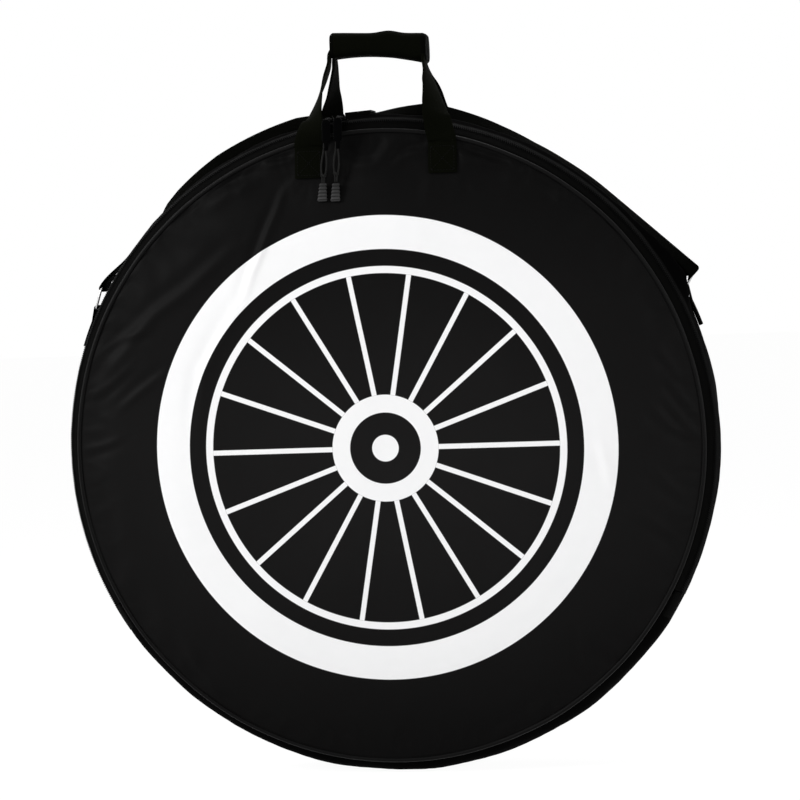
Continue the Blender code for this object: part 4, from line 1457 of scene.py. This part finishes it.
def knot_path(eye, front):
    """The cord's small knot: a loop that rises and falls twice on its way round."""
    middle = Vector((eye.x, front, eye.z - PULL_DROP + 0.0066))
    path = []
    for i in range(24):
        turn = 2 * math.pi * i / 24
        across = 0.0023 * math.cos(turn)
        rise = 0.0012 * math.sin(2 * turn)
        path.append(middle + Vector((across, 0.0015 * math.sin(turn), rise)))
    return path


def pull_end_rings(eye, front, extra):
    """Rings of the ribbed moulded end, which flares downwards."""
    rings = []
    steps = PULL_RIBS * 8
    top = eye.z - PULL_DROP - extra
    for i in range(steps + 1):
        share = i / steps
        width = (PULL_TOP + (PULL_BOTTOM - PULL_TOP) * share) / 2
        rib = 0.5 - 0.5 * math.cos(2 * math.pi * PULL_RIBS * share)
        ends = min(1.0, 0.80 + 8 * share, 0.84 + 8 * (1 - share))
        half = (width - 0.0008 + 0.0008 * rib**0.6) * ends
        deep = (PULL_DEPTH / 2 - 0.0005 + 0.0005 * rib**0.6) * ends
        z = top - PULL_LENGTH * share
        outline = rounded_outline(20, 0.6)
        rings.append([Vector((eye.x + half * x, front + deep * y, z)) for x, y in outline])
    return rings


def slider_tab_rings(eye, front):
    """Rings of the flat metal tab that hangs from a slider in front of the cord's top."""
    rings = []
    for i in range(29):
        share = i / 28
        reach = SLIDER_TAB_LENGTH * share
        neck = clamped((reach - SLIDER_NECK_START) / 0.0030)
        ends = min(1.0, 0.60 + 6 * share, 0.62 + 8 * (1 - share))
        width = (SLIDER_TAB_WIDE + (SLIDER_TAB_NECK - SLIDER_TAB_WIDE) * neck) * ends
        thick = 0.0009 * min(1.0, 0.5 + 8 * share, 0.5 + 8 * (1 - share))
        middle = Vector((eye.x, front - 0.0026, eye.z - 0.0016 - reach))
        outline = rounded_outline(16, 0.5)
        rings.append([middle + Vector((x * width, y * thick, 0)) for x, y in outline])
    return rings


def leaning(rings, eye, slope):
    """The same rings of a hanging piece, leaning to the left as they go down from its eye."""
    return [[Vector((p.x - slope * (eye.z - p.z), p.y, p.z)) for p in ring] for ring in rings]


class WHEELBAG_OT_pulls(bpy.types.Operator):
    """Build the zipper pulls: a looped cord and a ribbed end on each slider"""

    bl_idname = "wheel_bag.pulls"
    bl_label = "Pulls"

    def execute(self, context):
        rubber = pull_finish()
        cord = cord_finish()
        metal = bpy.data.materials["slider_metal"]
        for name, (slope, extra) in PULL_HANG.items():
            body = "pull_" + name
            eye = Vector(JOINTS["pull_" + name + "_swing"]["pos_m"])
            low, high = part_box("pull_end_" + name)
            front = (low.y + high.y) / 2
            path = [Vector(row) for row in curve_through(pull_cord_path(eye, front), 6)]
            cord_rings = leaning(tube_rings(path, CORD_RADIUS, 10), eye, slope)
            loop = loft("pull_cord_" + name + "_loop", cord_rings, cord)
            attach(loop, body)
            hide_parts("pull_cord_" + name)
            knot_rings = leaning(tube_rings(knot_path(eye, front), KNOT_RADIUS, 8, True), eye, slope)
            knot = loft("pull_knot_" + name, knot_rings, cord, closed=True)
            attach(knot, body)
            tab_rings = leaning(slider_tab_rings(eye, front), eye, slope * 0.3)
            tab = loft("pull_tab_" + name, tab_rings, metal)
            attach(tab, body)
            end_rings = leaning(pull_end_rings(eye, front, extra), eye, slope)
            end = loft("pull_end_" + name + "_mould", end_rings, rubber)
            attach(end, body)
            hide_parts("pull_end_" + name)
        return {"FINISHED"}


def leg_stops(place, way):
    """Half of a handle's webbing from the middle of the grip to its foot on the panel.

    Each stop has the middle's X, depth and height over the axis, how far the webbing has
    bent down, how far it has turned to face the front and how far it is folded up.
    """
    spread = LEG_SPREADS[place]
    turns = LEG_TURNS[place, way]
    middle = GRIP_DEPTH / 2
    top = between(spread, LEG_HEIGHTS[0])
    stops = [
        (0.0, middle, GRIP_RUN, 0.0, 0.0, 1.0),
        (top - 0.012, middle, GRIP_RUN, 0.0, 0.0, 1.0),
        (top - 0.0055, middle, GRIP_RUN - 0.0015, 0.35, 0.0, 1.0),
        (top - 0.0015, middle + 0.0002, GRIP_RUN - 0.0070, 0.80, 0.0, 0.95),
        (top - 0.0004, middle + 0.0006, GRIP_RUN - 0.0130, 1.0, between(turns, 0.434) / 2, 0.80),
    ]
    for z in LEG_HEIGHTS:
        folded = min(0.6, max(0.0, (z - 0.406) / 0.028 * 0.6))
        stops.append((between(spread, z), between(LEG_DEPTHS, z), z, 1.0, between(turns, z), folded))
    stance = STANCES[place]
    stops.append((stance, foot_depth(), LEG_START, 1.0, 1.0, 0.0))
    return stops


def sewn_depth(x, z):
    """Depth of the back of a handle's webbing where it is sewn flat on its panel."""
    return panel_depth(math.hypot(x, z)) + WEBBING_SEAT


def foot_depth():
    """Depth of the middle of a handle's webbing where it crosses the piping."""
    return abs(PIPING_DEPTH) + PIPING_ROOM + FOOT_GAP + STRAP_HALF


def band_section(centre, across, normal, width, thickness):
    """Points round webbing, thinner along both edges."""
    shares = (-0.5, -0.46, -0.36, -0.12, 0.12, 0.36, 0.46, 0.5)
    lifts = (0.35, 0.85, 1.0, 1.0, 1.0, 1.0, 0.85, 0.35)
    top = [centre + across * s * width + normal * h * thickness / 2 for s, h in zip(shares, lifts)]
    low = [centre + across * s * width - normal * h * thickness / 2 for s, h in zip(shares, lifts)]
    return top + list(reversed(low))


def half_handle(place, way):
    """Sections of half a handle, from the middle of its grip to the bottom of its sewn end."""
    stance = STANCES[place]
    rows = curve_through(leg_stops(place, way), 4)
    half = []
    for i, row in enumerate(rows):
        centre = Vector(row[:3])
        ahead = Vector(rows[min(i + 1, len(rows) - 1)][:3]) - Vector(rows[max(i - 1, 0)][:3])
        ahead.normalize()
        bend = clamped(row[3]) * math.pi / 2
        turn = clamped(row[4]) * math.pi / 2
        fold = clamped(row[5])
        normal = Vector((math.sin(bend) * math.cos(turn), math.sin(turn), math.cos(bend)))
        normal = (normal - ahead * normal.dot(ahead)).normalized()
        across = normal.cross(ahead)
        width = WEBBING_WIDTH + (FOLDED_WIDTH - WEBBING_WIDTH) * fold
        thickness = WEBBING_THICKNESS + (FOLDED_THICKNESS - WEBBING_THICKNESS) * fold
        half.append(band_section(centre, across, normal, width, thickness))
    steps = 10
    for i in range(1, steps + 1):
        z = LEG_START - (LEG_START - SEWN_LOW) * i / steps
        settled = min(1.0, (LEG_START - z) / 0.006)
        flat = foot_depth()
        centre = Vector((stance, 0, z))
        section = band_section(centre, ALONG_X, ALONG_Y, WEBBING_WIDTH, WEBBING_THICKNESS)
        ring = []
        for point in section:
            lying = sewn_depth(point.x, z) + WEBBING_THICKNESS / 2
            depth = flat + (lying - flat) * settled
            ring.append(Vector((point.x, depth + point.y, z)))
        half.append(ring)
    return [[Vector((way * p.x, p.y, p.z)) for p in ring] for ring in half]


def handle_rings(place, side):
    """Sections of one handle, from the bottom of one sewn end to the other's."""
    rings = align_sections(list(reversed(half_handle(place, -1))) + half_handle(place, 1)[1:])
    return [[Vector((p.x, side * p.y, p.z + AXIS_Z)) for p in ring] for ring in rings]


def align_sections(sections):
    """Start each section at the corner nearest to its neighbour's first, in the same sense."""
    out = [sections[0]]
    for section in sections[1:]:
        before = out[-1]
        count = len(section)
        best = None
        for option in (section, list(reversed(section))):
            for shift in (0, count // 2, count - 1, count // 2 - 1):
                turned = option[shift:] + option[:shift]
                gap = sum((a - b).length for a, b in zip(before, turned))
                if best is None or gap < best[0]:
                    best = (gap, turned)
        out.append(best[1])
    return out


def stitch_line(start, end):
    """Pairs of points, one for each stitch on a straight line."""
    length = (end - start).length
    count = max(1, round(length / STITCH_PITCH))
    for i in range(count):
        yield start.lerp(end, (i + 0.14) / count), start.lerp(end, (i + 0.86) / count)


def stitches(name, pairs, body):
    """All the stitches of one seam as one piece."""
    points = []
    faces = []
    for start, end in pairs:
        path = [start.lerp(end, share) for share in (0, 0.2, 0.5, 0.8, 1)]
        rings = []
        for i, ring in enumerate(tube_rings(path, THREAD_RADIUS, 6)):
            shrink = 0.45 if i in (0, 4) else 1.0
            rings.append([path[i] + (point - path[i]) * shrink for point in ring])
        offset = len(points)
        points += [point for ring in rings for point in ring]
        for i in range(4):
            for j in range(6):
                k = (j + 1) % 6
                low = offset + i * 6
                faces.append((low + j, low + k, low + 6 + k, low + 6 + j))
        faces.append(tuple(range(offset, offset + 6)))
        faces.append(tuple(range(offset + 24, offset + 30)))
    corners = [(points[index].x, points[index].z) for face in faces for index in face]
    piece = add_mesh(name, points, faces, corners, finish_once(thread_finish, "sewing_thread"))
    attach(piece, body)
    return piece


def sewn_box(stance, side, low, high):
    """The stitched box with a cross that holds a handle's end to its panel."""
    left = stance - WEBBING_WIDTH / 2 + 0.003
    right = stance + WEBBING_WIDTH / 2 - 0.003
    corners = [(left, low), (right, low), (right, high), (left, high)]
    lines = [(corners[i], corners[(i + 1) % 4]) for i in range(4)]
    lines += [(corners[0], corners[2]), (corners[1], corners[3])]
    pairs = []
    for first, last in lines:
        for start, end in stitch_line(Vector((first[0], 0, first[1])), Vector((last[0], 0, last[1]))):
            pair = []
            for point in (start, end):
                depth = sewn_depth(point.x, point.z) + WEBBING_THICKNESS + 0.0001
                pair.append(Vector((point.x, side * depth, AXIS_Z + point.z)))
            pairs.append(pair)
    return pairs


class WHEELBAG_OT_handles(bpy.types.Operator):
    """Build both webbing handles with their sewn ends"""

    bl_idname = "wheel_bag.handles"
    bl_label = "Handles"

    def execute(self, context):
        handles = (
            ("front", -1, FRONT_STANCE, "front_panel", 0.9),
            ("rear", 1, REAR_STANCE, "shell", 0.35),
        )
        for place, side, stance, body, share in handles:
            name = place + "_handle_web"
            material = webbing_finish(name, share)
            strap = loft(place + "_handle_strap", handle_rings(place, side), material, sharp=60)
            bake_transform(strap)
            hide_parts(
                place + "_handle_webbing",
                "handle_end_" + place + "_left",
                "handle_end_" + place + "_right",
            )
            pairs = []
            for way in (-1, 1):
                pairs += sewn_box(way * stance, side, SEWN_LOW + 0.003, SEWN_HIGH - 0.004)
            stitches(place + "_handle_stitching", pairs, body)
        return {"FINISHED"}


def grip_section(share, side):
    """Outline of half the padded grip at a place along it."""
    corner = GRIP_CORNER
    outline = [(0.00035, 0.0)]
    for i in range(7):
        turn = math.radians(90 * i / 6)
        y = GRIP_DEPTH - corner + corner * math.sin(turn)
        outline.append((y, corner - corner * math.cos(turn)))
    outline.append((GRIP_DEPTH + 0.0004, GRIP_HEIGHT * 0.5))
    for i in range(7):
        turn = math.radians(90 * i / 6)
        y = GRIP_DEPTH - corner + corner * math.cos(turn)
        outline.append((y, GRIP_HEIGHT - corner + corner * math.sin(turn)))
    outline.append((0.0006, GRIP_HEIGHT))
    outline.append((0.00035, GRIP_HEIGHT * 0.5))
    x = GRIP_MIDDLE + share * GRIP_HALF
    hump = GRIP_HUMP * math.exp(-(((x - 0.0152) / 0.013) ** 2))
    top = GRIP_TOP_LINE - GRIP_TOP_SLOPE * x + hump
    bottom = GRIP_LOW_LINE - GRIP_LOW_SLOPE * x + GRIP_SAG * (1 - share**2)
    end = max(0.0, (abs(share) - 0.93) / 0.07)
    shrink = 1 - 0.16 * end**2
    ring = []
    for y, z in outline:
        upper = 0.5 + (z / GRIP_HEIGHT - 0.5) * shrink
        lump = noise.noise(Vector((x * 55, y * 70 + side * 3, z * 70))) * 0.0007
        height = bottom + (top - bottom) * upper + lump * 0.5
        deep = y if y < 0.001 else y * (1 - 0.06 * end**2) + lump
        ring.append(Vector((x, side * deep, AXIS_Z + height)))
    return ring


class WHEELBAG_OT_grip(bpy.types.Operator):
    """Build the padded grip: one half on each handle, with bound ends"""

    bl_idname = "wheel_bag.grip"
    bl_label = "Grip"

    def execute(self, context):
        cloth = webbing_finish("grip_cloth", 0.8)
        # The binding's darker copy of the webbing is partly its own darker colour and partly painted
        # shade that holds down the side lamp's light on the grip's ends
        binding = webbing_finish("grip_binding", 0.35)
        shares = [-1 + 2 * i / 44 for i in range(45)]
        for place, side in (("front", -1), ("rear", 1)):
            body = place + "_handle"
            pad = loft(place + "_grip_pad", [grip_section(s, side) for s in shares], cloth, sharp=60)
            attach(pad, body)
            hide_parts(place + "_grip_half")
            for name, first, last in (("left", -1.003, -0.93), ("right", 0.90, 1.003)):
                rings = []
                for i in range(7):
                    share = first + (last - first) * i / 6
                    ring = grip_section(max(-1.0, min(1.0, share)), side)
                    height = AXIS_Z + GRIP_BOTTOM + GRIP_HEIGHT / 2
                    middle = Vector((0, side * GRIP_DEPTH * 0.45, height))
                    swell = 1.0 + 0.012 * math.sin(math.pi * i / 6)
                    grown = []
                    for point in ring:
                        y = middle.y + (point.y - middle.y) * swell
                        y = side * max(0.0003, side * y)
                        z = middle.z + (point.z - middle.z) * swell
                        grown.append(Vector((GRIP_MIDDLE + share * GRIP_HALF, y, z)))
                    rings.append(grown)
                band = loft(place + "_grip_binding_" + name, rings, binding, sharp=60)
                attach(band, body)
        return {"FINISHED"}


def rim_point(radius, turn):
    """A point at a radius from the bag's axis and a turn from the top, in radians."""
    return Vector((radius * math.sin(turn), 0, radius * math.cos(turn)))


def half_turn(bar, out, along, reach):
    """Webbing's half turn round a ring's bar."""
    turns = [math.radians(15 * i) for i in range(13)]
    return [bar + out * reach * math.cos(turn) + along * reach * math.sin(turn) for turn in turns]


def bar_opening(far, radius):
    """The turn about the bag's axis between a ring's two bars, at their two radii."""
    return math.acos((far**2 + radius**2 - RING_BAR_SPACING**2) / (2 * far * radius))


def strap_radius():
    """Radius of the middle of the strap where it lies over the rim."""
    return BODY_RADIUS + STRAP_LIFT + STRAP_HALF


def inner_bar_radius():
    """How far the ring's inner bar lies from the bag's axis."""
    return BODY_RADIUS + TAB_SEAT + TAB_LAYER + BAR_PLAY + RING_WIRE_RADIUS


def outer_bar():
    """Centre of the ring's bar that the strap turns round, on the right side."""
    leave = math.radians(STRAP_LEAVE_ANGLE)
    level = strap_radius() - RING_WIRE_RADIUS - BAR_PLAY - STRAP_HALF
    free = math.sqrt((inner_bar_radius() + RING_LIFT) ** 2 - level**2)
    x = level * math.sin(leave) + free * math.cos(leave)
    z = level * math.cos(leave) - free * math.sin(leave)
    return Vector((x, 0, z))


def inner_bar():
    """Centre of the ring's bar that the tab holds close to the rim, on the right side."""
    outer = outer_bar()
    radius = inner_bar_radius()
    turn = math.atan2(outer.x, outer.z) + bar_opening(outer.length, radius)
    return rim_point(radius, turn)


def between(table, place):
    """A value from a table of places and values, with straight steps between them."""
    return float(np.interp(place, [row[0] for row in table], [row[1] for row in table]))


def ring_bars(way):
    """Centres of a ring's outer and inner bars, as if on the right; the left ring lies closer in."""
    outer = outer_bar()
    inner = inner_bar()
    if way < 0:
        far = BODY_RADIUS + LEFT_RING_LIFT
        turn = math.atan2(inner.x, inner.z) - bar_opening(far, inner.length)
        outer = rim_point(far, turn)
    return outer, inner


def strap_over_rim(way):
    """The strap's half over the rim: middle points, back edge lifts and front edge moves."""
    radius = strap_radius()
    path = []
    edges = []
    for i in range(43):
        angle = STRAP_LEAVE_ANGLE * i / 42
        out = rim_point(1, math.radians(angle))
        path.append(out * radius)
        beside = way * angle + ADJUSTER_ANGLE
        press = STRAP_FRONT_EDGE[0][1] * (1 - math.exp(-((beside / 4.2) ** 4)))
        edges.append((between(STRAP_BACK_EDGE, way * angle), out * -press))
    return path, edges


def strap_right_end():
    """The strap's straight stretch to the right ring, its turn round the bar and its end."""
    leave = math.radians(STRAP_LEAVE_ANGLE)
    along = Vector((math.cos(leave), 0, -math.sin(leave)))
    out = rim_point(1, leave)
    bar = ring_bars(1)[0]
    eye = STRAP_EYE
    start = out * strap_radius()
    stop = bar + out * eye
    path = []
    edges = []
    for i in range(1, 24):
        share = i / 24
        path.append(start.lerp(stop, share))
        edges.append((0.0, out * -between(STRAP_FRONT_EDGE, share)))
    path += half_turn(bar, out, along, eye)
    edges += [(0.0, out * -STRAP_FRONT_EDGE[-1][1])] * 13
    back = STRAP_THICKNESS + TURN_GAP
    for i in range(6):
        space = 0.009 + (STRAP_TURN_BACK - 0.009) * i / 5
        path.append(bar + out * (eye - back) - along * space)
        share = 1 - space / (stop - start).length
        edges.append((0.0, out * -between(STRAP_FRONT_EDGE, share)))
    return path, edges


def strap_left_end():
    """The strap's slack stretch to the left ring, its turn and its end, drawn as if on the right."""
    bar = ring_bars(-1)[0]
    last = math.atan2(bar.x, bar.z)
    first = math.radians(STRAP_LEAVE_ANGLE)
    out = bar.normalized()
    along = Vector((out.z, 0, -out.x))
    eye = STRAP_EYE
    press = STRAP_FRONT_EDGE[0][1]

    def lying(share, under=0.0):
        turn = first + (last - first) * share
        settle = min(1.0, share / 0.15)
        low = strap_radius() + (BODY_RADIUS + SLACK_LIFT - strap_radius()) * settle
        rise = max(0.0, (share - 0.58) / 0.42)
        return rim_point(1, turn) * (low + (bar.length + eye - low) * eased(rise) - under)

    path = []
    edges = []
    for i in range(1, 24):
        share = i / 24
        path.append(lying(share))
        lift = between(STRAP_BACK_EDGE, -math.degrees(first + (last - first) * share))
        edges.append((lift, path[-1].normalized() * -press * (1 - share)))
    path += half_turn(bar, out, along, eye)
    length = (last - first) * BODY_RADIUS
    for i in range(6):
        space = 0.007 + 0.011 * i / 5
        path.append(lying(1 - space / length, STRAP_THICKNESS + TURN_GAP))
    edges += [(0.0, Vector((0, 0, 0)))] * 19
    return path, edges


def webbing_band(name, path, thickness, width, y, material, body, edges=None):
    """Webbing along a line in the XZ plane, whose back edge can be lifted and front edge moved."""
    rings = []
    for i, point in enumerate(path):
        ahead = (path[min(i + 1, len(path) - 1)] - path[max(i - 1, 0)]).normalized()
        outward = Vector((-ahead.z, 0, ahead.x))
        lift, move = edges[i] if edges else (0.0, Vector((0, 0, 0)))
        slant = lift / width
        level = math.sqrt(1 - slant**2)
        across = ALONG_Y * level + outward * slant
        middle = point + outward * lift / 2
        middle.y = y - width * (1 - level) / 2
        face = outward * level - ALONG_Y * slant
        ring = []
        for corner in band_section(middle, across, face, width, thickness):
            share = clamped((y + width / 2 - corner.y) / width)
            ring.append(corner + move * share)
        rings.append(ring)
    piece = loft(name, rings, material, sharp=60)
    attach(piece, body)
    return piece


def tab_half():
    """Middle line of the webbing tab that holds the right ring's inner bar."""
    bar = inner_bar()
    low = BODY_RADIUS + TAB_SEAT + TAB_HALF
    high = low + TAB_LAYER + TAB_SEAT
    bar_angle = math.degrees(math.atan2(bar.x, bar.z))
    eye = RING_WIRE_RADIUS + BAR_PLAY + TAB_HALF
    steps = [TAB_FOOT_ANGLE * share for share in (0.35, 0.5, 0.65, 0.8, 1.0)]
    turns = [math.radians(bar_angle + step) for step in steps]
    inward = -bar.normalized()
    up = Vector((inward.z, 0, -inward.x))
    path = [rim_point(low, turn) for turn in reversed(turns)]
    path += half_turn(bar, inward, up, eye)
    path += [rim_point(high, turn) for turn in turns]
    return path


def mirrored(path, way):
    """A line drawn for the right side, on its own side and at its height in the bag."""
    return [Vector((way * p.x, p.y, p.z + AXIS_Z)) for p in path]


def ring_line(way):
    """Middle line of one ring's wire, a rounded rectangle that follows the strap's slant."""
    half = RING_INSIDE_WIDTH / 2 + RING_WIRE_RADIUS
    outer, inner = ring_bars(way)
    along = (outer - inner).normalized()
    across = ALONG_Y
    shift = across * (half - RING_CORNER)
    far = outer - along * RING_CORNER
    near = inner + along * RING_CORNER
    corners = (
        (far + shift, along, across),
        (near + shift, across, -along),
        (near - shift, -along, -across),
        (far - shift, -across, along),
    )
    move = rim_point(1, math.radians(STRAP_LEAVE_ANGLE)) * -STRAP_FRONT_EDGE[-1][1]
    line = []
    for centre, first, second in corners:
        for i in range(9):
            turn = math.radians(90 * i / 8)
            point = centre + (first * math.cos(turn) + second * math.sin(turn)) * RING_CORNER
            if way > 0:
                front = (half - point.y) / (2 * half)
                reach = max(0.0, (point - inner).dot(along) / RING_BAR_SPACING)
                point = point + move * front * reach
            line.append(point + across * STRAP_Y)
    return mirrored(line, way)


class WHEELBAG_OT_strap(bpy.types.Operator):
    """Build the shoulder strap with its rings, tabs and adjuster"""

    bl_idname = "wheel_bag.strap"
    bl_label = "Shoulder strap"

    def execute(self, context):
        web = webbing_finish("strap_webbing", 0.22, 0.003)
        rim_left, edges_left = strap_over_rim(-1)
        rim_right, edges_right = strap_over_rim(1)
        end_left, end_edges_left = strap_left_end()
        end_right, end_edges_right = strap_right_end()
        left = rim_left[1:] + end_left
        left_edges = [
            (lift, Vector((-move.x, 0, move.z))) for lift, move in edges_left[1:] + end_edges_left
        ]
        path = list(reversed(mirrored(left, -1))) + mirrored(rim_right + end_right, 1)
        edges = list(reversed(left_edges)) + edges_right + end_edges_right
        strap = webbing_band(
            "shoulder_strap_web", path, STRAP_THICKNESS, WEBBING_WIDTH, STRAP_Y, web, "shell", edges
        )
        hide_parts("shoulder_strap")
        steel = metal_finish("ring_steel", (0.62, 0.62, 0.62), 0.16)
        for name, way in (("left", -1), ("right", 1)):
            rings = tube_rings(ring_line(way), RING_WIRE_RADIUS, 12, closed=True)
            wire = loft("strap_ring_" + name + "_wire", rings, steel, closed=True)
            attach(wire, "shell")
            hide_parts("strap_ring_" + name)
            line = mirrored(tab_half(), way)
            tab = webbing_band(
                "ring_tab_" + name + "_web", line, TAB_THICKNESS, WEBBING_WIDTH, STRAP_Y, web, "shell"
            )
            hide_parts("ring_tab_" + name)
        plastic = plastic_finish("adjuster_plastic", (0.0012, 0.0013, 0.0009), 0.5, 900.0, 0.03)
        dress_node("strap_adjuster", plastic, 0.0005)
        return {"FINISHED"}


def stage_finish(name, keep):
    """Plain white that keeps a share of the real shading, so that shadows stay on it."""
    pale = {"Base Color": (0.86, 0.86, 0.86, 1), "Roughness": 0.9, "Specular IOR Level": 0.0}
    made = Finish(name, pale)
    glow = made.node("Emission", None, {"Color": WHITE, "Strength": FLOOR_GLOW})
    blend = made.blend(made.seen() * (1 - keep), made.shader.outputs[0], glow.outputs[0])
    made.feed(made.tree.nodes["Material Output"].inputs["Surface"], blend)
    return made.material


def backdrop_world(name):
    """A world that lights the bag softly and looks white."""
    world = bpy.data.worlds.new(name)
    world.use_nodes = True
    made = Nodes(world.node_tree)
    light = made.tree.nodes["Background"]
    light.inputs["Color"].default_value = WHITE
    light.inputs["Strength"].default_value = DAYLIGHT
    white = made.node("Background", None, {"Color": WHITE, "Strength": 1.0})
    blend = made.blend(made.seen(), light.outputs[0], white.outputs[0])
    made.feed(made.tree.nodes["World Output"].inputs["Surface"], blend)
    return world


def area_light(name, place, target, width, power):
    """A soft square lamp that faces a point."""
    data = bpy.data.lights.new(name, "AREA")
    data.size = width
    data.energy = power
    lamp = bpy.data.objects.new(name, data)
    lamp.location = place
    lamp.rotation_euler = (Vector(target) - Vector(place)).to_track_quat("-Z", "Y").to_euler()
    bpy.context.scene.collection.objects.link(lamp)


class WHEELBAG_OT_stage(bpy.types.Operator):
    """Set up the floor, the backdrop, the light and the photograph's camera"""

    bl_idname = "wheel_bag.stage"
    bl_label = "Stage"

    def execute(self, context):
        scene = context.scene
        places = [FLOOR_REACH * (2 * i / FLOOR_STEPS - 1) for i in range(FLOOR_STEPS + 1)]
        points = [(x, y, -FLOOR_DROP) for x in places for y in places]
        faces = grid_faces(FLOOR_STEPS)
        corners = [points[index][:2] for face in faces for index in face]
        material = stage_finish("studio_white", FLOOR_SHADING)
        floor = add_mesh("studio_floor", points, faces, corners, material)
        scene.world = backdrop_world("studio_world")
        for lamp in LAMPS:
            area_light(*lamp)
        right, up, back = camera_axes()
        data = bpy.data.cameras.new("photo_camera")
        data.sensor_width = 36.0
        data.lens = FOCAL_PIXELS * data.sensor_width / PHOTO_SIZE
        camera = bpy.data.objects.new("photo_camera", data)
        place = CAMERA_TARGET + back * CAMERA_DISTANCE
        turn = Matrix((right, up, back)).transposed().to_4x4()
        camera.matrix_world = Matrix.Translation(place) @ turn
        scene.collection.objects.link(camera)
        scene.camera = camera
        scene.view_settings.view_transform = "Standard"
        return {"FINISHED"}


PIECES = (
    WHEELBAG_OT_stage,
    WHEELBAG_OT_front_panel,
    WHEELBAG_OT_back_panel,
    WHEELBAG_OT_padding,
    WHEELBAG_OT_gusset,
    WHEELBAG_OT_piping,
    WHEELBAG_OT_zipper,
    WHEELBAG_OT_pulls,
    WHEELBAG_OT_handles,
    WHEELBAG_OT_grip,
    WHEELBAG_OT_strap,
)


class WHEELBAG_PT_panel(bpy.types.Panel):
    """The bag's sizes, colours and pieces"""

    bl_idname = "WHEELBAG_PT_panel"
    bl_label = "Wheel bag"
    bl_space_type = "VIEW_3D"
    bl_region_type = "UI"
    bl_category = "Wheel bag"

    def draw(self, context):
        for group in (context.scene.wheel_bag_sizes, context.scene.wheel_bag_colours):
            for name in group.bl_rna.properties.keys():
                if name not in ("rna_type", "name"):
                    self.layout.prop(group, name)
        for piece in PIECES:
            self.layout.operator(piece.bl_idname)


CLASSES = (WheelBagSizes, WheelBagColours, *PIECES, WHEELBAG_PT_panel)


def register():
    """Make the classes and the scene's settings known to Blender."""
    for item in CLASSES:
        bpy.utils.register_class(item)
    bpy.types.Scene.wheel_bag_sizes = bpy.props.PointerProperty(type=WheelBagSizes)
    bpy.types.Scene.wheel_bag_colours = bpy.props.PointerProperty(type=WheelBagColours)


def unregister():
    """Take the classes and the settings out again."""
    del bpy.types.Scene.wheel_bag_colours
    del bpy.types.Scene.wheel_bag_sizes
    for item in reversed(CLASSES):
        bpy.utils.unregister_class(item)


def main():
    """Build every piece in order."""
    register()
    bpy.ops.wheel_bag.stage()
    bpy.ops.wheel_bag.front_panel()
    bpy.ops.wheel_bag.back_panel()
    bpy.ops.wheel_bag.padding()
    bpy.ops.wheel_bag.gusset()
    bpy.ops.wheel_bag.piping()
    bpy.ops.wheel_bag.zipper()
    bpy.ops.wheel_bag.pulls()
    bpy.ops.wheel_bag.handles()
    bpy.ops.wheel_bag.grip()
    bpy.ops.wheel_bag.strap()


if __name__ == "__main__":
    main()
